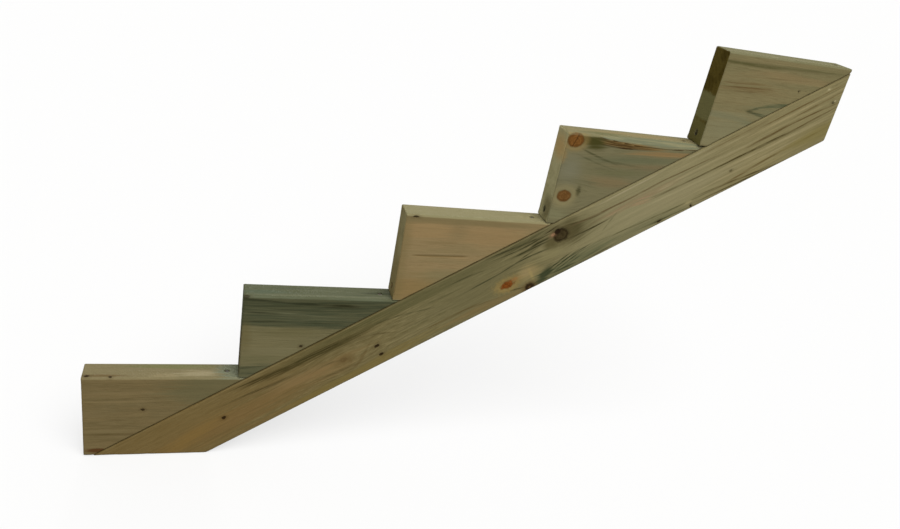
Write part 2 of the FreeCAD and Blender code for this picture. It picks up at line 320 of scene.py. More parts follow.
def cutWane(points, wane, timber):  # the log's own round, left on the front arris of the tread
    along, across, up = points.T
    inward = ((across + stair["halfThick"]) - (up - timber["high"])) / math.sqrt(2)
    sideways = ((across + stair["halfThick"]) + (up - timber["high"])) / math.sqrt(2)
    swing = ((wane["length"] / 2) ** 2 + wane["depth"] ** 2) / (2 * wane["depth"])
    away = along - wane["middle"]
    rough = wane["roughDeep"] * lattice(points / wane["roughCell"], wane["seed"])
    bark = np.exp(-((along - wane["bark"][0]) / wane["bark"][1]) ** 2)
    ridgeLong, ridgeWide = wane["ridgeCell"]
    ridges = lattice(np.c_[along / ridgeLong, sideways / ridgeWide, up * 0], wane["seed"] + 1)
    sag = np.sqrt(np.maximum(wane["radius"] ** 2 - sideways ** 2, 0))
    log = swing + wane["radius"] - sag + rough + wane["barkDeep"] * bark * (0.5 + 0.5 * ridges)
    surface = np.sqrt(np.maximum(log ** 2 - away ** 2, 0)) - (swing - wane["depth"])
    inside = np.abs(sideways) < wane["reach"] * wane["radius"]  # past this the round leaves both faces
    short = np.where(inside, np.maximum(surface - inward, 0), 0)
    step = np.array([0, 1, -1]) / math.sqrt(2)
    return points + short[:, None] * step, np.clip(short / wane["fullDepth"], 0, 1)


def timberMesh(name, timber):
    points, faces = timberShape(timber)
    mesh = bpy.data.meshes.new(name)
    mesh.from_pydata(points.tolist(), [], faces.tolist())
    normals = np.empty(len(points) * 3)
    mesh.vertex_normals.foreach_get("vector", normals)
    points = age(points, normals.reshape(-1, 3), timber)
    if "wane" in timber:
        points, waned = cutWane(points, timber["wane"], timber)
        mesh.attributes.new("wane", "FLOAT", "POINT").data.foreach_set("value", waned)
    for well in timber["wells"]:
        points = sinkWell(points, well)
    mesh.vertices.foreach_set("co", points.ravel())
    turn = Euler((0, -timber["turn"], 0)).to_matrix().to_4x4()
    mesh.transform(Matrix.Translation(Vector(timber["place"]) * mm) @ turn @ Matrix.Scale(mm, 4))
    mesh.shade_smooth()
    mesh.set_sharp_from_angle(angle=math.radians(weather["sharpAngle"]))
    mesh.update()
    return mesh


# Marks on a timber, in its own millimetres

def stain(at, reach, tone, strength, soft=0.5, ragged=0.7, **more):  # drawn out along the grain
    return {"at": at, "reach": reach, "tone": paint(*tone), "strength": strength, "soft": soft,
            "ragged": ragged, **more}


def treadStain(at, reach, tone, strength):  # on top of the tread, placed along and across it
    return stain(at, reach, tone, strength, tread=True)


def endStain(at, reach, tone, strength=0.85, soft=0.25, ragged=0.8):  # on a sawn end, placed across and up
    return stain(at, reach, tone, strength, soft, ragged)


def blot(at, reach, tone, strength, soft=0.5, ragged=0.7, **more):  # stays put, on the front face alone
    return stain(at, reach, tone, strength, soft, ragged, front=True, firm=True, **more)


strokeShape = {"fade": 5, "soft": 0.65, "ragged": 0.3}


def stroke(start, stop, wide, tone, strength, bend=0):  # a thin broken mark between two places on the front
    run, climb = stop[0] - start[0], stop[1] - start[1]
    middle = ((start[0] + stop[0]) / 2, (start[1] + stop[1]) / 2)
    return blot(middle, (run / 2 + strokeShape["fade"], wide), tone, strength, strokeShape["soft"],
                strokeShape["ragged"], bend=bend, climb=climb / run, broken=True)


def spotAt(at, size, stretch=1.3, strength=0.92, deep=0.9, tone=None, tread=False):  # an old hole or a speck
    return {"at": at, "size": size, "stretch": stretch, "strength": strength, "deep": deep, "tread": tread,
            **tones(tone=tone or (33, 20, 3), halo=tone or (58, 40, 12))}


plainKnot = {  # what most knots share
    "dip": 0.35, "hollow": 0, "flatten": 0.6, "turnBump": 0.35,  # relief
    "through": -10, "throughEdge": (-4, 2), "uneven": 0.25, "coreEdge": (-1.5, 0.8),  # depth and outline
    "haloWide": 5, "haloAt": 0.4, "haloShare": 0.5, "rimWide": 1.4, "rimAt": 0.93,  # round it
    "turnRough": 1.3, "turnEdge": (0.25, 0.9), "turnShare": 0.6,  # its rings
    "blotchEdge": (0, 0.14), "blotchShare": 0.5, "pithReach": 0.45, "pithShare": 0.4,
    "crackRough": 4, "crackWide": math.sqrt(0.8), "crackShare": 0.2,
}


def knotAt(at, size, stretch, flow, **more):  # flow: how far the grain gives way along and up
    return {**plainKnot, "at": at, "size": size, "stretch": stretch, "flow": flow, **more}


# Wood finish: treated softwood

def markGroup():  # one stain or mark, as a node group that every patch uses
    tree = bpy.data.node_groups.new("woodMark", "ShaderNodeTree")
    labels = ("Along", "Second", "Ragged", "At Along", "At Second", "Long", "Wide", "Climb", "Bend",
              "Rough", "Inner", "Outer", "Strength")
    for label in labels:
        tree.interface.new_socket(label, in_out="INPUT", socket_type="NodeSocketFloat")
    tree.interface.new_socket("Mask", in_out="OUTPUT", socket_type="NodeSocketFloat")
    along = Wire(tree).make("NodeGroupInput", out="Along")
    second, ragged, atAlong, atSecond, long, wide, climb, bend, rough, inner, outer, strength = (
        along.other(label) for label in labels[1:])
    away = along - atAlong
    x = away / long
    z = (second - atSecond - away * climb - (1 - x * x) * bend) / wide
    far = x.length(z) + ragged * rough
    output = tree.nodes.new("NodeGroupOutput")
    feed((1 - far.rise(inner, outer)) * strength, output.inputs["Mask"])
    return tree


woodMark = markGroup()


def softMask(patch, along, second, ragged):
    sockets = {
        "Along": along, "Second": second, "Ragged": ragged, "At Along": patch["at"][0],
        "At Second": patch["at"][1], "Long": patch["reach"][0], "Wide": patch["reach"][1],
        "Climb": patch.get("climb", 0), "Bend": patch.get("bend", 0), "Rough": patch["ragged"],
        "Inner": 1 - patch["soft"], "Outer": 1 + patch["soft"], "Strength": patch["strength"],
    }
    return along.make("ShaderNodeGroup", {"node_tree": woodMark}, sockets)


woodCells = {  # noise: millimetres along, across and up, then detail, roughness and the seed's multiple
    "drift": (310, 70, 75, 1.0, 0.5, 1), "wobble": (90, 14, 14, 3.0, 0.5, 1),
    "broad": (240, 11, 11, 2.0, 0.5, 1), "streak": (130, 3.6, 3.6, 3.0, 0.6, 2),
    "line": (170, 1.7, 1.7, 2.0, 0.5, 4), "plain": (150, 18, 18, 1.0, 0.5, 5),
    "fibre": (26, 0.62, 0.62, 3.0, 0.6, 3), "fleck": (15, 1.5, 1.5, 2.0, 0.6, 6),
    "cloud": (60, 26, 26, 2.0, 0.5, 1), "broken": (34, 2.4, 2.4, 3.0, 0.6, 7),
    "rough": (6, 6, 6, 2.0, 0.5, 1), "pores": (3, 0.9, 0.9, 3.0, 0.65, 0),
}
plainLook = {  # what the timbers share; each timber's own dictionary changes some of it
    "wander": 16, "pith": (62, 60), "taper": 0.012, "ring": 6.5, "stretch": 0.55, "parting": 0.92,
    "busy": (1, 0, 1),  # the grain's least share, and where along the timber it grows
    "ringWobble": 7, "lateRise": (0.3, 0.9), "lateFall": (0.93, 1.0), "lateBroad": (0.4, 0.58),
    "broadEdge": (0.46, 0.62), "cloudEdge": (0.48, 0.66), "streakEdge": (0.5, 0.66),  # where a layer begins
    "paleEdge": (0.32, 0.47), "plainEdge": (0.4, 0.58), "lineEdge": (0.54, 0.64), "lineBroad": (0.42, 0.58),
    "fleckDark": (0.54, 0.68), "fleckPale": (0.34, 0.46), "fleckShare": 0.22,
    "lateShare": 0.42, "broadShare": 0.45, "cloudShare": 0.25, "streakShare": 0.5, "paleShare": 0.3,
    "lineShare": 0.4, "grimeShare": 0.85, "wornShare": 0.3, "endRings": 0.25,
    # the dark joint tone is painted shade, standing in for the shadow in the gap along each joint
    **tones(early=(116, 106, 73), late=(86, 79, 51), broad=(98, 96, 66), cloud=(126, 118, 84),
            streak=(80, 78, 52), pale=(134, 126, 92), line=(66, 60, 36), worn=(140, 130, 97),
            grime=(62, 49, 18), endPale=(84, 76, 46), endDark=(50, 42, 20)),
}
finish = {  # what the layers of all the wood share
    "front": (-17, -6), "frontHole": (-16, -9), "frontCheck": (-17, -10),  # across: front marks fade out
    "tread": (-4, -1), "treadHole": (-5, -2),  # up from the tread: its marks fade in
    "ragged": (2.6, 1.6, 1.2),  # how streaks, broad bands and lines tear the outline of a stain
    "brokenEdge": (0.42, 0.58), "brokenShare": (0.62, 0.72),  # gaps in a stroke
    "streaky": (0.44, 0.56), "lined": (0.45, 0.53),  # streaks and lines left clear in a stain
    "holeEdge": (0.6, 1.05), "holeHalo": (1, 2.4), "holeHaloShare": 0.25, "holeRough": (3, 2),
    "checkEnd": 14, "checkWobble": 3,
    "bladeCell": (2, 22, 1.3, 7), "endCloud": (0.44, 0.6), "endCloudShare": 0.55,  # sawn ends
    "endShade": (0.7, 0.4, 0.2), "endBump": (0.5, 0.7, 0.3), "faceBump": (0.35, 0.5, 0.3, 0.55),
    "arris": (0.6, 4.2), "wornCloud": (0.4, 0.6),  # rubbed edges, partly a painted highlight on the arrises
    "seamFrom": 0.5, "grime": (0.55, 0.45), "grimeBroad": (0.4, 0.6),  # painted shade in the gap along the joint
    "roughness": 0.7, "fibreRough": 0.16, "sawnRough": 0.08, "gloss": 0.05, "bump": 0.4, "bumpDepth": 0.0006,
    "fibreDark": 0.86, "fibrePale": 0.28, "seedStep": 37.0,
}


def shifted(edges, place):  # both ends of an edge, measured from a place
    return [place + edge for edge in edges]


def summed(shares, *wires):  # each wire times its share
    total = wires[0] * shares[0]
    for share, wire in zip(shares[1:], wires[1:]):
        total = total + wire * share
    return total


def grainOf(wire, timber):  # the wires that every layer of the finish reads
    look, seed = timber["look"], finish["seedStep"] * timber["seed"]
    seen = wire.make("ShaderNodeTexCoord", out="Object")
    place = {"Vector": seen, "Location": Vector(timber["place"]) * mm,
             "Rotation": (0, -timber["turn"], 0), "Scale": (mm, mm, mm)}
    local = wire.make("ShaderNodeMapping", {"vector_type": "TEXTURE"}, place)
    along = wire.make("ShaderNodeSeparateXYZ", None, {"Vector": local}, out="X")
    across, up = along.other("Y"), along.other("Z")

    def cells(label, height, stretch=1):
        long, wide, tall, detail, rough, times = woodCells[label]
        spot = (along / (long * stretch) + seed * times, across / wide, height / tall)
        return wire.noise(*spot, detail, rough)

    flow = up + (cells("drift", up) - 0.5) * look["wander"]
    for knot in timber["knots"]:  # the grain parts round a knot
        x = (along - knot["at"][0]) / knot["flow"][0]
        z = (up - knot["at"][1]) / knot["flow"][1]
        flow = flow - (up - knot["at"][1]) * (-(x * x + z * z)).exp() * look["parting"]

    wobble = cells("wobble", flow) - 0.5
    pithAcross, pithUp = look["pith"]
    far = (across - pithAcross).length(flow - pithUp)
    ring = ((far + along * look["taper"] + wobble * look["ringWobble"]) / look["ring"]).fract()
    late = ring.rise(*look["lateRise"]) * (1 - ring.rise(*look["lateFall"]))
    broad, streak, line, plain = (
        cells(label, flow, look["stretch"]) for label in ("broad", "streak", "line", "plain"))
    calm, quietTo, busyFrom = look["busy"]
    busy = along.rise(quietTo, busyFrom) * (1 - calm) + calm
    busy = busy * plain.rise(*look["plainEdge"])  # some stretches of the face show no streaks at all
    ragged = summed(finish["ragged"], streak - 0.5, broad - 0.5, line - 0.5)
    return SimpleNamespace(
        along=along, across=across, up=up, seed=seed, flow=flow, wobble=wobble, late=late, broad=broad,
        streak=streak, line=line, busy=busy, ragged=ragged, fibre=cells("fibre", flow),
        fleck=cells("fleck", flow), cloud=cells("cloud", up), rough=cells("rough", up) - 0.5,
        broken=cells("broken", up).rise(*finish["brokenEdge"]), pores=cells("pores", up))


def woodColour(wire, timber, grain):  # the plain wood, then the stains and strokes on it
    look = timber["look"]
    line = grain.line.rise(*look["lineEdge"]) * grain.broad.rise(*look["lineBroad"])
    layers = {
        "late": grain.late * grain.broad.rise(*look["lateBroad"]),
        "broad": grain.broad.rise(*look["broadEdge"]),
        "cloud": grain.cloud.rise(*look["cloudEdge"]),
        "streak": grain.streak.rise(*look["streakEdge"]) * grain.busy,
        "pale": (1 - grain.streak.rise(*look["paleEdge"])) * grain.busy,
        "line": line * grain.busy,
    }
    colour = look["early"]
    for label, mask in layers.items():
        colour = wire.blend(mask * look[label + "Share"], colour, look[label])
    dark, pale = grain.fleck.rise(*look["fleckDark"]), 1 - grain.fleck.rise(*look["fleckPale"])
    colour = wire.blend(dark * look["fleckShare"], colour, look["line"])
    colour = wire.blend(pale * look["fleckShare"], colour, look["pale"])

    leastShare, moreShare = finish["brokenShare"]
    shown = {"tread": grain.up.rise(*shifted(finish["tread"], timber["high"])),
             "front": 1 - grain.across.rise(*finish["front"]),
             "broken": leastShare + moreShare * grain.broken}
    gaps = {"streaky": grain.streak.rise(*finish["streaky"]), "lined": grain.line.rise(*finish["lined"])}
    for patch in timber["patches"]:
        second = grain.across if "tread" in patch else grain.up if "firm" in patch else grain.flow
        mask = softMask(patch, grain.along, second, grain.ragged)
        for label in [label for label in shown if label in patch]:
            mask = mask * shown[label]
        for label in [label for label in gaps if label in patch]:
            mask = mask * (1 - patch[label] * gaps[label])
        colour = wire.blend(mask, colour, patch["tone"])
    return colour


def barkOver(wire, timber, grain, colour):  # the log's skin on the waney edge, the strip of bark and its lip
    look, wane = timber["look"], timber["wane"]
    mask = wire.make("ShaderNodeAttribute", {"attribute_name": "wane"}, out="Fac")
    corner = stair["halfThick"] - timber["high"]
    side = (grain.across + grain.up + corner) * math.sqrt(0.5)  # below nought on the front
    skin = wire.blend(grain.streak.rise(*wane["skinStreaks"]), look["skin"], look["skinStreak"])
    colour = wire.blend(mask.rise(*wane["skinEdge"]), colour, skin)
    stripeLong, stripeWide, stripeDeep = wane["stripeCell"]
    stripe = wire.noise(grain.along / stripeLong + grain.seed, side / stripeWide, side / stripeDeep, 2.0)
    stripe = wire.blend(stripe.rise(*wane["stripeEdge"]), look["bark"], look["barkPale"])
    fade = 1 - grain.along.rise(*wane["barkStop"]) * wane["barkFade"]
    bark = mask.rise(*wane["barkEdge"]) * (1 - side.rise(*wane["barkSide"]))
    bark = bark * (grain.along.rise(*wane["barkStart"]) * fade)
    colour = wire.blend(bark, colour, stripe)
    lip = mask.rise(*wane["lipRise"]) * (1 - mask.rise(*wane["lipFall"])) * (1 - side.rise(*wane["lipSide"]))
    return wire.blend(lip * wane["lipShare"], colour, look["bark"])


def knotsOver(wire, timber, grain, colour, height):  # halo, heart with its rings and crack, and the dark rim
    for knot in timber["knots"]:
        size, rough = knot["size"], grain.rough
        x = (grain.along - knot["at"][0]) / knot["stretch"]
        z = grain.up - knot["at"][1]
        far = x.length(z) * (1 + rough * knot["uneven"])
        shown = 1 - grain.across.rise(*shifted(knot["throughEdge"], knot["through"]))
        core = (1 - far.rise(*shifted(knot["coreEdge"], size))) * shown
        halo = ((far - size - knot["haloWide"] * knot["haloAt"]) / knot["haloWide"]).bell() * shown
        rim = ((far - size * knot["rimAt"]) / knot["rimWide"]).bell() * shown
        turns = (far / knot["turn"] + rough * knot["turnRough"]).fract()
        pith = 1 - far.rise(0, size * knot["pithReach"])
        crack = x * math.cos(knot["crack"]) + z * math.sin(knot["crack"]) + rough * knot["crackRough"]
        heart = wire.blend(turns.rise(*knot["turnEdge"]) * knot["turnShare"], knot["tone"], knot["dark"])
        heart = wire.blend(rough.rise(*knot["blotchEdge"]) * knot["blotchShare"], heart, knot["dark"])
        heart = wire.blend(pith * knot["pithShare"], heart, knot["pith"])
        heart = wire.blend((crack / knot["crackWide"]).bell() * knot["crackShare"], heart, knot["rim"])
        colour = wire.blend(halo * knot["haloShare"], colour, knot["haloTone"])
        colour = wire.blend(core, colour, heart)
        colour = wire.blend(rim * knot["rimShare"], colour, knot["rim"])
        height = height * (1 - core * knot["flatten"]) + turns * core * knot["turnBump"]
    return colour, height


def holesOver(wire, timber, grain, colour):
    onFront = 1 - grain.across.rise(*finish["frontHole"])
    onTread = grain.up.rise(*shifted(finish["treadHole"], timber["high"]))
    roughAlong, roughUp = finish["holeRough"]
    for spot in timber["spots"]:
        second, shown = (grain.across, onTread) if spot["tread"] else (grain.up, onFront)
        x = (grain.along - spot["at"][0] + grain.rough * roughAlong) / spot["stretch"]
        far = x.length(second - spot["at"][1] + grain.rough * roughUp) / spot["size"]
        mask, halo = ((1 - far.rise(*finish[label])) * shown for label in ("holeEdge", "holeHalo"))
        colour = wire.blend(halo * finish["holeHaloShare"] * spot["strength"], colour, spot["halo"])
        colour = wire.blend(mask * spot["strength"], colour, spot["tone"])
    for check in timber["checks"]:
        first, last, end = check["from"], check["to"], finish["checkEnd"]
        middle = grain.up - check["up"] - (grain.along - first) * check["climb"]
        middle = middle - grain.wobble * finish["checkWobble"]
        reach = grain.along.rise(first, first + end) * (1 - grain.along.rise(last - end, last))
        mask = (middle / check["wide"]).bell() * reach * (1 - grain.across.rise(*finish["frontCheck"]))
        colour = wire.blend(mask * check["strength"], colour, check["tone"])
    return colour


def endGrain(wire, timber, grain, colour, height):  # sawn ends: dusky, porous and rippled by the blade
    look = timber["look"]
    normal = wire.make("ShaderNodeNewGeometry", out="Normal")
    way = (math.cos(timber["turn"]), 0, math.sin(timber["turn"]))
    facing = wire.make("ShaderNodeVectorMath", {"operation": "DOT_PRODUCT"}, {0: normal, 1: way}, out="Value")
    sawn = facing.size().rise(*timber["sawnEdge"])
    bladeAlong, bladeAcross, bladeUp, bladeTilt = finish["bladeCell"]
    blade = wire.noise(grain.along / bladeAlong, grain.across / bladeAcross,
                       grain.up / bladeUp + grain.across / bladeTilt)
    rings = grain.late * look["endRings"] + grain.cloud.rise(*finish["endCloud"]) * finish["endCloudShare"]
    dusk = wire.blend(rings, look["endPale"], look["endDark"])
    for patch in timber["endPatches"]:
        dusk = wire.blend(softMask(patch, grain.across, grain.up, grain.rough), dusk, patch["tone"])
    least, poreShare, bladeShare = finish["endShade"]
    dusk = dusk.shade(least + poreShare * grain.pores + bladeShare * blade)
    relief = summed(finish["endBump"], grain.pores, blade, grain.late)
    return wire.blend(sawn, colour, dusk), height * (1 - sawn) + relief * sawn, sawn


def edgesOver(wire, timber, grain, colour, sawn):  # rubbed arrises with a painted highlight on them, and painted shade in the gap along the joint
    look = timber["look"]
    toSide = stair["halfThick"] - grain.across.size()
    toLong = (grain.up - timber["low"]).least(timber["high"] - grain.up)
    # paler arrises: partly rubbed wear, partly a painted highlight where light catches the eased edge
    worn = (1 - toSide.most(toLong).rise(*finish["arris"])) * (1 - sawn)
    worn = worn * grain.cloud.rise(*finish["wornCloud"])
    colour = wire.blend(worn * look["wornShare"], colour, look["worn"])
    # painted shade: a dark line along the joint, standing in for the shadow in its gap
    level, plumb, offset = timber["seam"]
    gap = (grain.along * level + grain.up * plumb + offset).size()
    leastSeamShade, moreSeamShade = finish["grime"]
    grime = leastSeamShade + moreSeamShade * grain.broad.rise(*finish["grimeBroad"])
    grime = (1 - gap.rise(finish["seamFrom"], timber["seamWide"])) * grime
    return wire.blend(grime * look["grimeShare"], colour, look["grime"])


def timberFinish(name, timber):
    material, wire, shader = newMaterial(name)
    grain = grainOf(wire, timber)
    colour = woodColour(wire, timber, grain)
    if "wane" in timber:
        colour = barkOver(wire, timber, grain, colour)
    colour = colour.shade(finish["fibreDark"] + finish["fibrePale"] * grain.fibre)
    height = summed(finish["faceBump"], grain.late, grain.streak, grain.line, grain.fibre)
    colour, height = knotsOver(wire, timber, grain, colour, height)
    colour = holesOver(wire, timber, grain, colour)
    colour, height, sawn = endGrain(wire, timber, grain, colour, height)
    feed(edgesOver(wire, timber, grain, colour, sawn), shader.inputs["Base Color"])
    rough = finish["roughness"] + finish["fibreRough"] * grain.fibre + sawn * finish["sawnRough"]
    feed(rough, shader.inputs["Roughness"])
    shader.inputs["Specular IOR Level"].default_value = finish["gloss"]
    bump = {"Height": height, "Strength": finish["bump"], "Distance": finish["bumpDepth"]}
    feed(wire.make("ShaderNodeBump", None, bump), shader.inputs["Normal"])
    return material


def dressTimber(node, piece, timber):
    timber = {"knots": [], "spots": [], "checks": [], "endPatches": [], **timber}
    timber["look"] = {**plainLook, **timber["look"]}
    mesh = timberMesh(piece, timber)
    mesh.materials.append(timberFinish(piece + "Finish", timber))
    timberObject = addObject(piece, mesh)
    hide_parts(node)
    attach(timberObject, "root")
    print(piece, len(mesh.polygons), "faces")


# Nails: their places on a block, and the wells that their heads leave in the wood

nails = {  # millimetres and degrees
    "length": 83, "shank": 3.3, "head": 7.2, "headThick": 1.3, "point": 5, "tip": 0.6,
    "treadSetback": 16, "treadSink": 1.2, "riserSink": 5, "riserTurn": 45, "riserClear": 0.8,
    "footSetback": 80, "wellRoom": 0.2,
}
riserTurn = math.radians(nails["riserTurn"])
riserUp = stair["footFlat"] * math.cos(riserTurn) + nails["shank"] / 2 + nails["riserClear"]
riserUp = riserUp / math.sin(riserTurn)
treadNail = {"place": (stair["run"] - nails["treadSetback"], 0, stair["rise"]), "axis": (0, 0, -1),
             "outward": (0, 0, 1), "sink": nails["treadSink"]}
riserNail = {"place": (0, 0, riserUp), "axis": (math.sin(riserTurn), 0, -math.cos(riserTurn)),
             "outward": (-1, 0, 0), "sink": nails["riserSink"]}
footNail = {"place": (nails["footSetback"], 0, 0), "axis": (0, 0, 1), "outward": (0, 0, -1),
            "sink": nails["treadSink"]}


def wellOf(nail):
    radius = nails["head"] / 2 + nails["wellRoom"]
    return {**nail, "radius": radius, "depth": nail["sink"] + nails["headThick"]}


def onBoard(nail):  # the same nail in the board's own directions
    turn = Matrix.Rotation(lean, 3, "Y")
    foot = Vector((stair["footFlat"], 0, 0))
    return {**nail, "place": tuple(turn @ (Vector(nail["place"]) - foot)),
            "axis": tuple(turn @ Vector(nail["axis"])), "outward": tuple(turn @ Vector(nail["outward"]))}


def blockTimber(step, details):  # what every step block shares
    tip = stair["run"] + stair["footFlat"]
    endHere = stair["endX"] - (step - 1) * stair["run"]
    fine, onFloor = weather["markFine"], step == 1
    upMarks, alongMarks = [(riserUp, weather["riserFine"])], [(treadNail["place"][0], weather["nailFine"])]
    upMarks += [(check["up"], fine) for check in details.get("checks", [])]
    for spot in details.get("spots", []):
        if not spot["tread"]:
            along, up = spot["at"]
            upMarks.append((up, fine))
            alongMarks.append((along / (stair["footFlat"] + up / slope) * tip, fine))
    return {
        "low": 0, "high": stair["rise"], "alongStep": 2.6, "upMarks": upMarks, "alongMarks": alongMarks,
        "wells": [wellOf(treadNail)] + ([] if onFloor else [wellOf(riserNail)]), "turn": 0, "seed": step,
        "seam": (-math.sin(lean), math.cos(lean), stair["footFlat"] * math.sin(lean)), "seamWide": 2.2,
        "cutTilt": (1, math.sin(lean)), "sawnEdge": (0.7, 0.95),
        "lowRound": stair["edgeRound"] if onFloor else 0.8, "footEase": 1 if onFloor else 0.25,
        "start": lambda up: np.zeros_like(up),
        "end": lambda up: np.minimum(stair["footFlat"] + up / slope, endHere),
        "place": ((step - 1) * stair["run"], 0, (step - 1) * stair["rise"]), **details,
    }


firstBlock = {
    "look": {"pith": (70, 92), "ring": 7.5, "lateShare": 0.22, "broadShare": 0.4, "streakShare": 0.28,
             "lineShare": 0.2, "paleShare": 0.3, "streakEdge": (0.52, 0.68),
             **tones(early=(113, 98, 65), late=(94, 80, 50), broad=(102, 91, 60), streak=(92, 79, 49),
                     pale=(126, 110, 76), cloud=(110, 99, 69), line=(76, 62, 34), worn=(132, 122, 90))},
    "patches": [
        stain((175, 118), (60, 30), (93, 91, 63), 0.6),
        stain((45, 97), (46, 1.8), (128, 111, 76), 0.4),
        stain((60, 113), (40, 2.4), (126, 110, 76), 0.35),
        stain((40, 39), (45, 2.0), (82, 69, 39), 0.5),
        stain((40, 45), (45, 2.2), (124, 110, 76), 0.4),
        stain((18, 8.6), (14, 4), (78, 46, 18), 0.85, front=True),
        treadStain((100, 0), (300, 60), (117, 109, 80), 0.7),
        treadStain((115, 11), (64, 6), (100, 102, 64), 0.7),
        treadStain((156, -8), (26, 7), (140, 130, 100), 0.8),
        treadStain((112, -12), (16, 4), (134, 122, 90), 0.6),
        treadStain((206, 0), (20, 30), (104, 110, 90), 0.8),
        treadStain((28, -12), (24, 3), (92, 74, 44), 0.7),
    ],
    "spots": [
        spotAt((81.5, 83.8), 2.7, strength=0.82),
        spotAt((7, -13.5), 2.8, 1.6, tread=True),
        spotAt((38.1, -15.6), 2.2, 1.5, tread=True),
    ],
    "endPatches": [endStain((0, 110), (30, 30), (118, 106, 70))],
}
dressTimber("step_block_1", "firstStepBlock", blockTimber(1, firstBlock))

secondBlock = {
    "look": {"pith": (24, 250), "ring": 6.0, "lateShare": 0.12, "broadShare": 0.35, "streakShare": 0.22,
             "lineShare": 0.22,
             **tones(early=(108, 101, 71), late=(94, 88, 60), broad=(100, 96, 67), streak=(90, 86, 58),
                     pale=(120, 114, 84), cloud=(108, 103, 74), line=(66, 64, 40), worn=(104, 110, 90))},
    "patches": [
        # the dark green upper half
        stain((110, 120), (300, 29), (64, 68, 48), 0.95, 0.12, 0.12, streaky=0.25),
        stain((90, 112), (110, 12), (86, 86, 62), 0.6, lined=0.9),
        stain((60, 128), (120, 10), (54, 57, 37), 0.6, lined=0.8),
        stroke((0, 135), (52, 131.4), 1.5, (52, 54, 36), 0.8),
        stroke((70, 130), (110, 129.3), 2.2, (48, 50, 32), 0.85),
        stroke((118, 128), (162, 126.7), 3.6, (46, 46, 27), 0.85),
        stroke((10, 114), (46, 112), 1.3, (52, 54, 36), 0.7),
        stroke((14, 99), (54, 99), 1.6, (48, 50, 31), 0.8),
        stroke((90, 97), (140, 98), 1.2, (54, 56, 36), 0.6),
        stroke((30, 116), (120, 108.6), 0.9, (94, 95, 70), 0.6),
        stroke((10, 120.4), (40, 119), 1.0, (92, 93, 68), 0.6),
        stroke((60, 105), (130, 104), 0.8, (92, 92, 66), 0.5),
        # the lower half
        stain((60, 8), (200, 14), (77, 79, 56), 0.7, 0.2, 0.4),
        stroke((0, 18), (28, 20.5), 1.4, (58, 60, 40), 0.7),
        stroke((0, 8), (20, 8.5), 1.2, (60, 64, 46), 0.5),
        stain((40, 62), (60, 20), (114, 106, 74), 0.5, 0.8),
        # painted shade along the left edge, where the face rounds away into the riser
        stain((5, 76), (8, 22), (94, 84, 50), 0.5, 0.9, front=True),
        stain((66, 84), (44, 6), (98, 92, 60), 0.6, 0.8),
        stain((62, 49), (40, 7), (114, 108, 78), 0.55, 0.8),
        stain((24, 34), (34, 6), (97, 94, 64), 0.5, 0.8),
        treadStain((100, 0), (300, 60), (84, 87, 65), 0.9),
        treadStain((140, 18), (16, 1.6), (44, 46, 28), 0.9),
        treadStain((84, 18), (8, 1.2), (56, 58, 38), 0.7),
        treadStain((125, -12), (90, 3), (102, 104, 80), 0.6),
        treadStain((30, -4), (36, 5), (76, 86, 68), 0.6),
        treadStain((193, 0), (22, 3), (58, 62, 44), 0.7),
        treadStain((62, 7), (34, 1.6), (70, 76, 58), 0.6),
        treadStain((112, 3), (40, 1.8), (94, 97, 74), 0.6),
        treadStain((158, -7), (30, 2), (72, 76, 56), 0.6),
    ],
    "spots": [spotAt((86.5, 57.1), 2.6, strength=0.84), spotAt((4, -17.4), 2.3, 2.4, tread=True)],
    "endPatches": [endStain((0, 112), (40, 34), (80, 84, 58))],
}
dressTimber("step_block_2", "secondStepBlock", blockTimber(2, secondBlock))

thirdBlock = {
    "look": {"pith": (95, 66), "ring": 8.5, "lateShare": 0.14, "broadShare": 0.35, "streakShare": 0.18,
             "lineShare": 0.1, "paleShare": 0.16,
             **tones(early=(137, 118, 82), late=(118, 102, 68), broad=(126, 114, 79), streak=(120, 106, 72),
                     pale=(144, 127, 91), cloud=(139, 120, 83), line=(100, 84, 50), worn=(136, 130, 96),
                     endPale=(150, 140, 98), endDark=(126, 116, 76))},
    "patches": [
        stain((36, 118), (44, 12), (147, 122, 82), 0.6),
        stain((130, 112), (60, 16), (144, 119, 80), 0.6),
        stain((70, 37), (34, 12), (122, 112, 78), 0.7),
        stain((20, 18), (44, 20), (126, 104, 62), 0.6, 0.8),
        # painted shade along the left edge, where the face rounds away into the riser
        stain((1, 64), (9, 80), (112, 99, 62), 0.5, 0.9, front=True),
        stain((82, 118), (12, 14), (124, 108, 74), 0.5, 0.9),
        stroke((24, 80), (104, 81.6), 1.3, (150, 132, 96), 0.5),
        stain((80, 134), (140, 6), (116, 104, 70), 0.7, front=True),
        stain((62, 98), (26, 2), (116, 100, 64), 0.4, climb=0.05),
        treadStain((100, 0), (300, 60), (127, 123, 91), 0.85),
        treadStain((200, 4), (24, 12), (134, 126, 90), 0.6),
    ],
    "checks": [{"from": 14, "to": 106, "up": 75.5, "climb": 0.02, "wide": 1.5, "deep": 0.7, "strength": 0.65,
                "tone": paint(100, 80, 44)}],
    "spots": [spotAt((14.5, 137.0), 2.0, 2.6)],
    "endPatches": [endStain((-10, 30), (20, 40), (134, 120, 76))],
}
dressTimber("step_block_3", "thirdStepBlock", blockTimber(3, thirdBlock))

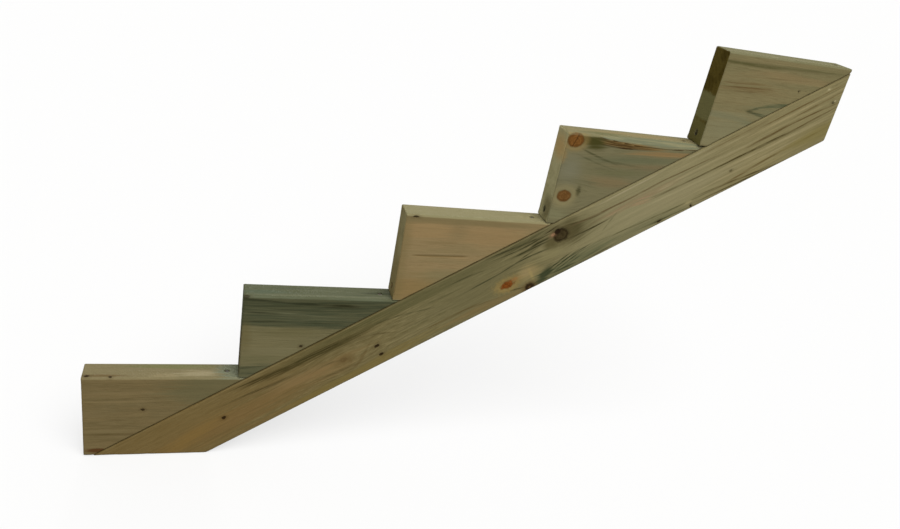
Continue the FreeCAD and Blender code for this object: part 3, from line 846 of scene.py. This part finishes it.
fourthBlock = {
    "look": {"pith": (40, 84), "ring": 8.0, "lateShare": 0.16, "broadShare": 0.35, "streakShare": 0.22,
             "lineShare": 0.2, "wander": 22, "grimeShare": 0.6,
             **tones(early=(114, 108, 78), late=(94, 91, 64), broad=(104, 101, 73), streak=(96, 92, 64),
                     pale=(122, 115, 84), cloud=(112, 108, 80), line=(74, 70, 44), worn=(122, 120, 92),
                     endPale=(182, 175, 130), endDark=(164, 157, 114), skin=(104, 106, 82),
                     skinStreak=(124, 120, 90), bark=(58, 42, 16), barkPale=(108, 86, 48))},
    "patches": [
        stain((15, 88), (16, 30), (118, 116, 94), 0.65, 0.9, 0.3),
        stain((165, 121), (56, 4.5), (138, 110, 70), 0.7),
        stain((84, 70), (30, 8), (122, 104, 72), 0.6, 0.8),
        stain((150, 98), (60, 5), (116, 100, 70), 0.55, 0.8),
        stain((120, 110), (70, 6), (94, 97, 70), 0.6, 0.8),
        stain((94, 86), (40, 6), (94, 94, 62), 0.5, 0.8),
        stroke((26, 119.3), (82, 101), 1.6, (72, 70, 44), 0.6, -1.4),
        stroke((31, 107), (80, 93), 1.3, (80, 78, 52), 0.5, -1),
        stroke((60, 104), (120, 99), 1.5, (84, 82, 56), 0.45),
        # under the bark
        blot((98, 129.8), (56, 4.2), (124, 98, 56), 0.8, 0.3, 0.3, climb=-0.03),
        stroke((44, 136.6), (126, 127.6), 1.5, (60, 44, 18), 0.9, -1.6),
        stroke((46, 129.2), (124, 125.8), 1.3, (58, 42, 18), 0.85, -2.2),
        stroke((50, 131), (118, 127.2), 0.9, (72, 52, 24), 0.8, -1),
        stroke((58, 134.5), (112, 129.6), 0.7, (96, 74, 40), 0.7, -1),
        blot((42, 130), (17, 10), (66, 63, 28), 1, 0.7, 0.8, climb=-0.12),
        stain((-2, 116), (6, 15), (142, 118, 72), 0.6, 0.7),
        blot((37.5, 53.5), (3.8, 7), (60, 58, 34), 0.9, 0.6),
        stain((8, 22), (18, 10), (122, 120, 88), 0.6, 0.8),
        treadStain((100, 0), (300, 60), (125, 118, 85), 0.7),
        treadStain((130, 2), (110, 7), (132, 116, 78), 0.6),
        treadStain((60, -6), (30, 7), (92, 92, 58), 0.7),
    ],
    "knots": [
        knotAt((13.6, 130.0), 10.4, 1.24, (42, 26), through=-13, rimShare=0.5, turn=4.4, crack=-0.3,
               crackShare=0.85, pithShare=0.25, **tones(tone=(122, 82, 38), dark=(92, 60, 22),
               pith=(108, 70, 30), rim=(68, 44, 14), haloTone=(140, 118, 72))),
        knotAt((17.1, 44.8), 9.4, 1.2, (34, 24), haloWide=6, rimWide=1.3, rimShare=0.4, turn=4.0, crack=0.2,
               crackShare=0.3, **tones(tone=(110, 78, 40), dark=(88, 58, 26), pith=(90, 58, 24),
               rim=(76, 52, 22), haloTone=(138, 127, 88))),
    ],
    "wane": {
        "middle": 150, "length": 230, "depth": 6.4, "radius": 22, "reach": 0.65, "fullDepth": 1.2, "seed": 7,
        "roughDeep": 0.35, "roughCell": (24, 5, 5), "bark": (80, 42), "barkDeep": 0.7, "ridgeCell": (40, 2.2),
        "skinStreaks": (0.42, 0.58), "skinEdge": (0.1, 0.6),  # bare skin of the log
        "stripeCell": (90, 1.5, 9), "stripeEdge": (0.42, 0.55), "barkEdge": (0.02, 0.2),  # strip of bark
        "barkSide": (-6, -2.4), "barkStart": (36, 56), "barkStop": (112, 152), "barkFade": 0.75,
        "lipRise": (0, 0.08), "lipFall": (0.2, 0.6), "lipSide": (-2, 0), "lipShare": 0.8,  # dark lip under it
    },
    "endPatches": [endStain((-2, 114), (20, 16), (192, 158, 98), soft=0.8, strength=0.75),
                   endStain((-8, 20), (14, 18), (120, 112, 76), soft=0.5)],
}
dressTimber("step_block_4", "fourthStepBlock", blockTimber(4, fourthBlock))

fifthBlock = {
    "look": {"pith": (55, 62), "ring": 8.0, "lateShare": 0.16, "broadShare": 0.4, "streakShare": 0.26,
             "lineShare": 0.25, "streakEdge": (0.52, 0.66), "grimeShare": 0.7,
             **tones(early=(124, 114, 79), late=(104, 97, 65), broad=(112, 107, 74), streak=(106, 94, 61),
                     pale=(136, 126, 90), cloud=(126, 114, 80), line=(88, 72, 42), worn=(124, 122, 94),
                     endPale=(97, 83, 33), endDark=(68, 55, 10))},
    "patches": [
        stain((100, 127.4), (116, 3.4), (100, 95, 63), 0.6, climb=0.02, firm=True),
        stroke((0, 126.8), (96, 126.4), 2.6, (88, 83, 50), 0.8, -0.8),
        stroke((88, 126.8), (205, 130.6), 1.2, (96, 91, 58), 0.65),
        stain((120, 113), (80, 7), (134, 116, 80), 0.55),
        stain((50, 91), (56, 7), (112, 94, 60), 0.6, lined=0.8),
        stroke((20, 92), (76, 94), 1.1, (92, 72, 42), 0.65),
        stroke((24, 86.2), (64, 88), 0.9, (96, 76, 44), 0.6),
        stroke((16, 97.6), (58, 99), 0.8, (98, 80, 48), 0.5),
        stroke((30, 108), (150, 113.4), 0.8, (106, 92, 60), 0.4),
        stroke((67, 61.6), (92, 69.2), 1.6, (74, 75, 48), 0.85, 0.8),
        stroke((86, 68), (132, 75.4), 2.6, (84, 87, 60), 0.85, 0.6),
        blot((64.5, 59.2), (6, 2.2), (58, 58, 34), 0.85, 0.8),
        stroke((66, 58.6), (101, 53.4), 2.2, (62, 62, 36), 0.95, -0.4),
        stain((108, 60), (40, 8), (106, 108, 80), 0.5, 0.8),
        stain((66, 42.4), (15, 4), (98, 102, 76), 0.65, 0.8, climb=-0.1),
        stain((24, 48), (34, 3.4), (100, 102, 76), 0.6, 0.8, climb=-0.07),
        stain((34, 26), (64, 24), (127, 123, 92), 0.65, 0.8),
        treadStain((100, 2), (300, 60), (107, 106, 78), 0.8),
        treadStain((100, -8), (120, 4), (124, 118, 88), 0.6),
    ],
    "spots": [spotAt((136, 97), 1.9, 0.9, strength=0.6)],
    "endPatches": [endStain((0, 56), (60, 20), (126, 122, 78), ragged=0.35, soft=0.14),
                   endStain((0, 16), (60, 19), (114, 108, 62), ragged=0.5)],
}
dressTimber("step_block_5", "fifthStepBlock", blockTimber(5, fifthBlock))

boardTop = (stair["endX"] - stair["footFlat"]) / math.cos(lean)
boardHoles = [
    spotAt((190.3, -45), 3.2),
    spotAt((444.9, -53.9), 3.2, 1.6),
    spotAt((444.4, -70.9), 2.8, 1.6),
    spotAt((1227.9, -32), 2.6, strength=0.7),
]
carriage = {
    "low": -stair["boardWidth"], "high": 0, "alongStep": 3.1, "seed": 9, "turn": lean,
    "seam": (0, 1, 0), "seamWide": 2.6, "cutTilt": (math.sin(lean), math.cos(lean)), "sawnEdge": (0.3, 0.68),
    "start": lambda up: -up / math.tan(lean),
    "end": lambda up: boardTop + up * math.tan(lean),
    "place": (stair["footFlat"], 0, 0), "wells": [wellOf(onBoard(footNail))],
    "lowRound": stair["edgeRound"], "footEase": 1,
    "upMarks": [(up, weather["markFine"]) for up in (-45, -54, -70, -33)],  # the rows of holes
    "alongMarks": [(hole["at"][0], weather["markFine"]) for hole in boardHoles],
    "look": {"pith": (34, 74), "ring": 6.2, "taper": 0.016, "wander": 14, "stretch": 1.2,
             "busy": (0.45, 930, 1060), "fleckShare": 0.45, "lateShare": 0.2, "broadShare": 0.55,
             "streakShare": 0.75, "lineShare": 0.6, "paleShare": 0.8, "broadEdge": (0.48, 0.58),
             "streakEdge": (0.53, 0.6), "paleEdge": (0.4, 0.48), "plainEdge": (0.36, 0.52),
             "grimeShare": 0.7,
             **tones(early=(115, 108, 74), late=(92, 86, 56), broad=(102, 97, 65), streak=(82, 74, 44),
                     pale=(148, 137, 98), cloud=(116, 108, 76), line=(70, 62, 36), worn=(124, 115, 82))},
    "patches": [
        # broad tones, browner on the left and paler on the right
        stain((60, -45), (330, 140), (109, 88, 49), 0.8, 0.9, 0.3),
        stain((1080, -45), (330, 140), (140, 129, 91), 0.65, 0.9, 0.3),
        stain((900, -46), (110, 60), (138, 132, 99), 0.65, 0.9, 0.3),
        stain((622, -50), (96, 52), (105, 98, 66), 0.75, 0.9, 0.3),
        stain((215, -54), (130, 16), (118, 93, 55), 0.55, 0.8),
        stain((128, -50), (56, 10), (124, 99, 52), 0.6, 0.8, climb=0.12),
        stain((316, -43), (46, 8), (127, 105, 68), 0.7, 0.8, climb=-0.12),
        stain((405, -9), (110, 11), (80, 75, 43), 0.75, 0.6, lined=0.4),
        stain((410, -79), (110, 9), (114, 99, 52), 0.6),
        # the left third
        stroke((215, -30.4), (349, -35.3), 1.3, (88, 75, 46), 0.6),
        stroke((215, -25.5), (313, -31.6), 1.8, (78, 66, 37), 0.8),
        stain((285, -14.6), (54, 5.4), (74, 62, 33), 0.85, lined=0.6, climb=-0.11, firm=True),
        stroke((238, -8.6), (330, -18.4), 1.3, (64, 54, 26), 0.92, 1),
        stroke((252, -12.8), (326, -21), 1.0, (68, 58, 30), 0.88, 0.6),
        stroke((266, -9.4), (320, -14.4), 0.8, (74, 64, 34), 0.8, 0.6),
        stain((370, -17.4), (66, 6.4), (70, 62, 32), 0.85, lined=0.6, climb=-0.05, firm=True),
        stroke((312, -14.4), (432, -19.4), 1.4, (58, 52, 25), 0.92),
        stroke((322, -18.4), (424, -22.6), 1.1, (64, 57, 29), 0.88),
        stroke((336, -12.2), (404, -15), 0.8, (70, 62, 34), 0.8),
        stroke((350, -24), (430, -27), 1.1, (84, 75, 46), 0.6),
        stroke((418, -20.7), (492, -21.8), 1.5, (74, 67, 37), 0.8, 3),
        stroke((350, -44.5), (386, -48), 1.5, (84, 74, 46), 0.6, 3),
        stroke((348, -63), (404, -67), 2.0, (86, 72, 42), 0.6, 1),
        stroke((406, -66), (430, -49), 2.6, (92, 75, 43), 0.5, -2),
        stroke((438, -29.5), (476, -45), 1.6, (86, 75, 46), 0.6, 2),
        # left of the knots
        stain((560, -8), (120, 10), (88, 84, 53), 0.75, lined=0.3),
        stroke((465, -17), (544, -37), 1.2, (84, 79, 51), 0.65, 2),
        stroke((546, -27), (584, -28.5), 1.4, (84, 79, 51), 0.65),
        stroke((588, -15), (638, -19), 1.5, (76, 72, 45), 0.7, 1),
        stroke((596, -39.4), (660, -37), 1.4, (74, 71, 46), 0.8),
        stroke((500, -48), (570, -49), 0.9, (92, 86, 58), 0.5),
        stroke((526, -67), (602, -67.8), 1.7, (90, 75, 43), 0.75),
        stroke((592, -68), (646, -76), 1.3, (94, 79, 48), 0.65),
        stain((625, -79), (66, 6), (122, 101, 62), 0.5),
        # dark grain round the black knot
        stain((715, -9), (56, 7), (66, 64, 38), 0.75, climb=-0.1, lined=0.5),
        stroke((662, -4.4), (752, -13.6), 1.6, (54, 52, 29), 0.8),
        stroke((672, -12), (746, -12.4), 1.3, (54, 52, 29), 0.8, -2.6),
        stroke((722, -20.4), (752, -19.6), 2.2, (54, 52, 29), 0.85, 1.6),
        stroke((688, -21.8), (742, -23.4), 2.0, (57, 55, 31), 0.8, -0.4),
        stroke((690, -33), (730, -25.6), 1.1, (68, 65, 40), 0.7, 0.6),
        blot((749, -32), (9, 8), (78, 71, 40), 0.75, 0.7),
        stroke((662, -37.8), (748, -38), 1.2, (66, 64, 40), 0.8, 4.6),
        stain((796, -28), (32, 14), (86, 80, 50), 0.7, 0.7, lined=0.4),
        blot((788, -23), (15, 17), (74, 67, 39), 0.82, 0.6),
        stroke((782, -13), (830, -21.6), 1.2, (68, 58, 32), 0.75, -1.4),
        stroke((822, -21.2), (868, -21.6), 0.9, (84, 70, 42), 0.65),
        stroke((782, -36), (842, -36.8), 1.4, (66, 60, 36), 0.78, -1.4),
        stroke((662, -73), (687, -80), 1.3, (76, 68, 42), 0.75),
        # the pale patch
        blot((701, -60.5), (21, 15), (129, 117, 78), 0.9, 0.35, 0.35),
        blot((699, -58), (14, 9), (144, 127, 87), 0.9, 0.7),
        blot((742, -47), (20, 8), (130, 122, 84), 0.6, 0.8),
        blot((704, -64), (2.6, 11), (152, 135, 86), 0.7, 0.7),
        # the green scar
        stain((770, -77), (62, 12), (86, 90, 62), 0.8, lined=0.4, climb=0.04),
        blot((722.5, -76), (16, 8), (54, 60, 38), 0.92, 0.5, climb=0.45),
        stroke((728, -71.4), (764, -62.8), 1.3, (52, 56, 34), 0.88),
        stroke((734, -75), (776, -64.6), 1.3, (54, 58, 36), 0.88),
        stroke((742, -78), (784, -68), 1.0, (60, 64, 42), 0.78),
        stroke((752, -80.4), (786, -73), 0.9, (64, 68, 46), 0.7),
        stroke((770, -66.4), (798, -63.6), 1.1, (62, 64, 42), 0.78),
        stroke((736, -80), (768, -81), 1.4, (56, 60, 38), 0.78),
        stroke((790, -80.8), (816, -79.2), 1.5, (60, 64, 42), 0.8),
        stroke((802, -84.6), (836, -83.4), 1.2, (64, 66, 44), 0.7),
        stroke((740, -86), (800, -87), 1.3, (78, 76, 50), 0.6),
        # right of the knots
        stain((880, -79), (90, 8), (94, 95, 66), 0.7, lined=0.5),
        stroke((840, -66.6), (1010, -76.2), 1.2, (84, 80, 50), 0.75, -1),
        stroke((892, -80), (972, -84.4), 1.3, (74, 74, 46), 0.8),
        stain((905, -32), (60, 6), (134, 111, 82), 0.5, lined=0.4),
        stroke((788, -18), (942, -19.8), 1.5, (98, 82, 54), 0.7, -2),
        stroke((934, -19.6), (1026, -23), 1.2, (98, 84, 54), 0.65),
        stroke((925, -38.2), (962, -40.4), 1.1, (92, 82, 54), 0.7),
        stroke((752, -9.5), (765, -7.2), 1.2, (54, 46, 25), 0.8),
        # pink and pale dashes
        stroke((888, -34), (912, -38), 1.4, (148, 126, 94), 0.65),
        stroke((890, -37), (910, -41.5), 1.0, (146, 123, 92), 0.6),
        stroke((901, -31), (913, -33), 0.9, (152, 126, 98), 0.6),
        stroke((848, -32.5), (868, -31), 1.2, (146, 122, 92), 0.6),
        stroke((934, -32), (951, -32.2), 1.0, (156, 144, 110), 0.6),
        stroke((838, -46.5), (856, -35.5), 1.4, (102, 98, 68), 0.5),
        # the next two are painted highlights, where light catches the eased top arris
        stroke((852, -6.6), (934, -4.6), 1.2, (156, 146, 114), 0.8),
        stroke((986, -5), (1030, -5), 1.2, (156, 146, 112), 0.7),
        # the right third: dark lines, then pale ones
        stroke((944, -41), (1060, -43), 1.3, (78, 69, 40), 0.85),
        stroke((1044, -42.4), (1160, -45), 1.9, (72, 62, 32), 0.9),
        stroke((1140, -45), (1234, -42), 1.2, (88, 74, 42), 0.75),
        stain((965, -56), (70, 9), (140, 131, 97), 0.7, 0.6),
        stroke((1090, -34.2), (1150, -32.4), 1.9, (84, 68, 36), 0.85),
        stroke((1130, -33), (1236, -37), 1.1, (94, 78, 45), 0.75, 1.6),
        stroke((1030, -76), (1110, -69.4), 1.6, (98, 82, 48), 0.7),
        stroke((1095, -69.6), (1215, -67), 1.4, (98, 84, 48), 0.7),
        stroke((1010, -74.4), (1120, -85.4), 1.6, (80, 69, 38), 0.8),
        stroke((985, -82), (1112, -86.4), 1.2, (76, 68, 38), 0.8),
        stroke((1100, -14), (1232, -12), 1.3, (98, 82, 48), 0.7),
        stroke((1020, -9), (1120, -8), 1.1, (104, 90, 58), 0.6),
        stroke((1170, -24), (1240, -22.6), 1.3, (94, 78, 44), 0.7),
        stain((1196, -72), (44, 12), (122, 111, 64), 0.65, 0.6),
        stroke((900, -47), (1010, -49.6), 1.8, (150, 141, 106), 0.6),
        stroke((950, -30), (1096, -29.6), 1.6, (152, 141, 105), 0.65),
        stroke((1036, -50.4), (1200, -52.6), 2.2, (154, 142, 105), 0.65),
        stroke((1010, -64), (1150, -62), 1.8, (152, 140, 103), 0.6),
        stroke((1080, -19.4), (1230, -17.8), 2.0, (152, 139, 101), 0.65),
        stroke((960, -12.6), (1090, -14), 1.6, (148, 137, 101), 0.6),
        stroke((1050, -79), (1170, -76.6), 1.4, (146, 134, 92), 0.6),
        stroke((1120, -27), (1225, -29), 1.3, (150, 138, 99), 0.6),
    ],
    "knots": [
        knotAt((391, -49.5), 4.4, 1.5, (48, 20), dip=0.1, uneven=1.2, haloShare=0.4, rimWide=1.6,
               rimShare=0.3, turn=3.2, crack=0.4, crackShare=0.0, **tones(tone=(104, 86, 52),
               dark=(92, 75, 44), pith=(84, 68, 39), rim=(92, 75, 44), haloTone=(100, 82, 48))),
        knotAt((768.4, -24.2), 9.8, 1.12, (46, 22), dip=0.9, hollow=0.5, uneven=0.6, haloWide=7, rimWide=2.6,
               rimShare=0.8, turn=5.5, crack=0.9, pithShare=0.2, **tones(tone=(70, 60, 36),
               dark=(50, 41, 20), pith=(52, 40, 20), rim=(36, 27, 8), haloTone=(84, 75, 46))),
        knotAt((664, -61.5), 6.2, 1.7, (34, 16), dip=0.4, uneven=1.2, haloShare=0.75, rimShare=0.35,
               turn=3.6, crack=0.3, crackShare=0.5, pithShare=0.0, **tones(tone=(126, 70, 24),
               dark=(84, 44, 12), pith=(84, 44, 12), rim=(84, 46, 14), haloTone=(138, 118, 69))),
        knotAt((694, -84.2), 5.6, 1.25, (30, 16), dip=0.8, hollow=0.5, through=-6, uneven=0.8, haloWide=4,
               haloShare=0.6, rimWide=2.0, rimShare=0.8, turn=3.0, crack=0.5, pithShare=0.8,
               **tones(tone=(58, 42, 20), dark=(42, 28, 10), pith=(98, 78, 48), rim=(34, 22, 8),
               haloTone=(92, 74, 42))),
    ],
    "spots": [
        *boardHoles,
        spotAt((1048.2, -59), 2.4, strength=0.45),
        # the next two are painted highlights: the lit right edge of the hole at 1227.9, and a lit dash near
        # the top arris
        spotAt((1231.5, -31), 1.3, 1.6, tone=(176, 166, 128), deep=0, strength=0.8),
        spotAt((1225, -7.5), 1.4, 1.8, tone=(176, 166, 128), deep=0, strength=0.8),
        spotAt((971, -76), 3, 2.2, tone=(156, 145, 104), deep=0, strength=0.5),
        spotAt((973, -84), 3.4, 0.6),
        spotAt((918.4, -83), 2.4, 1.8),
        spotAt((757.6, -17.8), 2.8, 1.5, tone=(154, 118, 86), deep=0, strength=0.85),
        spotAt((766, -16), 5.2, 1.1, tone=(32, 21, 9), deep=0.4),
        spotAt((678, -58), 3.4, 1.8, tone=(142, 102, 58), deep=0, strength=0.6),
    ],
}
dressTimber("carriage_board", "carriageBoard", carriage)


# Nails: one tree turns the points into driven nails

nailSizes = {"Length": "length", "Shank": "shank", "Head": "head", "Head Thickness": "headThick",
             "Point": "point", "Tip": "tip"}
nailLook = {  # shade from the specks; metal and roughness from the rust
    "cloudScale": 420.0, "speckScale": 1900.0, "rustEdge": (0.42, 0.62), "shade": (0.75, 0.5),
    "metal": (0.75, -0.6), "roughness": (0.42, 0.35), "bump": 0.4, "bumpDepth": 0.0002, "sharpAngle": 40,
    **tones(steel=(92, 94, 84), rust=(72, 54, 34)),
}


def nailFinish():
    material, wire, shader = newMaterial("nailSteel")
    seen = wire.make("ShaderNodeTexCoord", out="Object")
    cloud = {"Vector": seen, "Scale": nailLook["cloudScale"], "Detail": 4.0}
    speck = {"Vector": seen, "Scale": nailLook["speckScale"], "Detail": 2.0}
    rust = wire.make("ShaderNodeTexNoise", None, cloud).rise(*nailLook["rustEdge"])
    speck = wire.make("ShaderNodeTexNoise", None, speck)
    colour = wire.blend(rust, nailLook["steel"], nailLook["rust"])

    def scaled(label, share):
        least, more = nailLook[label]
        return least + more * share

    feed(colour.shade(scaled("shade", speck)), shader.inputs["Base Color"])
    feed(scaled("metal", rust), shader.inputs["Metallic"])
    feed(scaled("roughness", rust), shader.inputs["Roughness"])
    bump = {"Height": speck, "Strength": nailLook["bump"], "Distance": nailLook["bumpDepth"]}
    feed(wire.make("ShaderNodeBump", None, bump), shader.inputs["Normal"])
    return material


def nailTree(steel):
    tree = bpy.data.node_groups.new("drivenNails", "GeometryNodeTree")
    tree.interface.new_socket("Places", in_out="INPUT", socket_type="NodeSocketGeometry")
    for label in nailSizes:
        tree.interface.new_socket(label, in_out="INPUT", socket_type="NodeSocketFloat")
    tree.interface.new_socket("Nails", in_out="OUTPUT", socket_type="NodeSocketGeometry")
    wire = Wire(tree)
    places = wire.make("NodeGroupInput", out="Places")
    length, shank, head, thick, point, tip = (places.other(label) for label in nailSizes)
    rings = [  # depth below the top of the head, and radius
        (length * 0, head * 0.38), (thick * 0.12, head * 0.46), (thick * 0.4, head * 0.5),
        (thick, head * 0.5), (thick * 1.08, shank * 0.56), (thick * 1.6, shank * 0.5),
        (length - point, shank * 0.5), (length, tip * 0.5),
    ]
    index = wire.make("GeometryNodeInputIndex")
    depth, radius = (
        wire.make("GeometryNodeIndexSwitch", {"data_type": "FLOAT", "items": len(rings)},
                  {"Index": index, **{str(k): ring[column] for k, ring in enumerate(rings)}})
        for column in (0, 1))
    line = wire.make("GeometryNodeCurvePrimitiveLine", None, {"End": (0, 0, -1)})
    path = wire.make("GeometryNodeResampleCurve", None, {"Curve": line, "Count": len(rings)})
    spot = wire.vector(0, 0, -depth)
    path = wire.make("GeometryNodeSetPosition", None, {"Geometry": path, "Position": spot})
    circle = wire.make("GeometryNodeCurvePrimitiveCircle", None, {"Resolution": 28, "Radius": 1.0})
    body = {"Curve": path, "Profile Curve": circle, "Scale": radius, "Fill Caps": True}
    nail = wire.make("GeometryNodeCurveToMesh", None, body)
    lift = wire.make("GeometryNodeInputNamedAttribute", {"data_type": "FLOAT_VECTOR"}, {"Name": "lift"})
    turn = wire.make("FunctionNodeAlignRotationToVector", {"axis": "Z"}, {"Vector": lift})
    driven = {"Points": places, "Instance": nail, "Rotation": turn}
    driven = wire.make("GeometryNodeInstanceOnPoints", None, driven)
    driven = wire.make("GeometryNodeRealizeInstances", None, {"Geometry": driven})
    driven = wire.make("GeometryNodeSetMaterial", None, {"Geometry": driven, "Material": steel})
    output = tree.nodes.new("NodeGroupOutput")
    feed(driven, output.inputs["Nails"])
    return tree


def driveNails(node, piece, tree, places):  # places: the top of each head and the way it faces
    mesh = bpy.data.meshes.new(piece)
    mesh.from_pydata([place for place, lift in places], [], [])
    mesh.attributes.new("lift", "FLOAT_VECTOR", "POINT").data.foreach_set(
        "vector", [part for place, lift in places for part in lift])
    nailObject = addObject(piece, mesh)
    modifier = nailObject.modifiers.new("nails", "NODES")
    modifier.node_group = tree
    for item in tree.interface.items_tree:
        if item.in_out == "INPUT" and item.name in nailSizes:
            modifier[item.identifier] = nails[nailSizes[item.name]] * mm
    seen = nailObject.evaluated_get(bpy.context.evaluated_depsgraph_get())
    nailObject.data = bpy.data.meshes.new_from_object(seen)
    nailObject.modifiers.remove(modifier)
    nailObject.data.shade_smooth()
    nailObject.data.set_sharp_from_angle(angle=math.radians(nailLook["sharpAngle"]))
    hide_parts(node)
    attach(nailObject, "root")
    print(piece, len(places), "nails", len(nailObject.data.polygons), "faces")


def headTop(nail, step):  # where a nail's head ends up, and the way it faces
    corner = Vector(((step - 1) * stair["run"], 0, (step - 1) * stair["rise"]))
    axis = Vector(nail["axis"])
    return tuple((Vector(nail["place"]) + corner + axis * nail["sink"]) * mm), tuple(-axis)


nailMaker = nailTree(nailFinish())
allSteps = range(1, stair["steps"] + 1)
driveNails("tread_nails", "treadNails", nailMaker, [headTop(treadNail, step) for step in allSteps])
driveNails("riser_nails", "riserNails", nailMaker, [headTop(riserNail, step) for step in allSteps[1:]])
driveNails("foot_nail", "footNail", nailMaker, [headTop(footNail, 1)])


# Stage: a pale floor, soft light and the photograph's camera

studio = {
    "keyFrom": (0.14, -0.50, 0.85), "keyStrength": 3.42, "keySoft": 50, "keyTint": (1, 0.995, 0.98),
    "fillFrom": (0.05, 1, 0.08), "fillStrength": 1.6, "fillSoft": 9, "fillTint": (1, 1, 1),
    "ambient": 0.36, "floorBounce": 0.34, "floorSeen": 0.25, "floorGlow": 0.66,
    "floorSize": 90, "floorDrop": 0.0006,  # just under the feet
}


def seenByEye(wire):  # camera, mirror and glass rays
    path = wire.make("ShaderNodeLightPath", out="Is Camera Ray")
    return path.most(path.other("Is Glossy Ray")).most(path.other("Is Transmission Ray"))


def layFloor():
    mesh = bpy.data.meshes.new("studioFloor")
    reach = studio["floorSize"] / 2
    corners = [(-reach, -reach, 0), (reach, -reach, 0), (reach, reach, 0), (-reach, reach, 0)]
    mesh.from_pydata(corners, [], [(0, 1, 2, 3)])
    mesh.transform(Matrix.Translation((0, 0, -studio["floorDrop"])))
    material, wire, shader = newMaterial("studioFloorPaint")
    values = {"Base Color": (*[studio["floorSeen"]] * 3, 1), "Roughness": 1, "Specular IOR Level": 0,
              "Emission Color": (1, 1, 1, 1), "Emission Strength": studio["floorGlow"]}
    for label, value in values.items():
        shader.inputs[label].default_value = value
    dull = wire.make("ShaderNodeBsdfDiffuse", None, {"Color": (*[studio["floorBounce"]] * 3, 1)})
    seen = Wire(wire.tree, shader.outputs["BSDF"])
    mixed = wire.make("ShaderNodeMixShader", None, {0: seenByEye(wire), 1: dull, 2: seen})
    feed(mixed, wire.tree.nodes["Material Output"].inputs["Surface"])
    mesh.materials.append(material)
    floor = addObject("studioFloor", mesh)


def hangLamp(name):  # one soft far lamp
    lamp = bpy.data.lights.new(name + "Light", "SUN")
    lamp.energy, lamp.color = studio[name + "Strength"], studio[name + "Tint"]
    lamp.angle = math.radians(studio[name + "Soft"])
    lampObject = addObject(name + "Light", lamp)
    lampObject.rotation_euler = Vector(studio[name + "From"]).to_track_quat("Z", "Y").to_euler()


def lightStudio():
    world = bpy.data.worlds.new("studioWorld")
    bpy.context.scene.world = world
    world.use_nodes = True
    wire = Wire(world.node_tree)
    background = world.node_tree.nodes["Background"]
    background.inputs["Color"].default_value = (1, 1, 1, 1)
    strength = seenByEye(wire).rise(0, 1) * (1 - studio["ambient"]) + studio["ambient"]
    feed(strength, background.inputs["Strength"])
    hangLamp("key")
    hangLamp("fill")


photoView = {  # fitted to the photograph's edges: metres, degrees and pixels
    "place": (0.165724, -0.989563, 0.840049), "azimuth": 19.181, "elevation": -25.769, "roll": 11.153,
    "focal": 774.87, "frameWidth": 900, "sensor": 36, "clipEnd": 200,
}


def setCamera():
    azimuth, elevation, roll = (math.radians(photoView[key]) for key in ("azimuth", "elevation", "roll"))
    level = math.cos(elevation)
    aim = Vector((math.sin(azimuth) * level, math.cos(azimuth) * level, math.sin(elevation)))
    lens = bpy.data.cameras.new("photoCamera")
    lens.sensor_fit = "HORIZONTAL"
    lens.sensor_width = photoView["sensor"]
    lens.lens = photoView["focal"] * photoView["sensor"] / photoView["frameWidth"]
    lens.clip_end = photoView["clipEnd"]
    camera = addObject("photoCamera", lens)
    turn = aim.to_track_quat("-Z", "Y").to_matrix().to_4x4() @ Matrix.Rotation(roll, 4, "Z")
    camera.matrix_world = Matrix.Translation(photoView["place"]) @ turn
    bpy.context.scene.camera = camera


layFloor()
lightStudio()
setCamera()
bpy.context.scene.view_settings.view_transform = "Standard"
print("studio set")
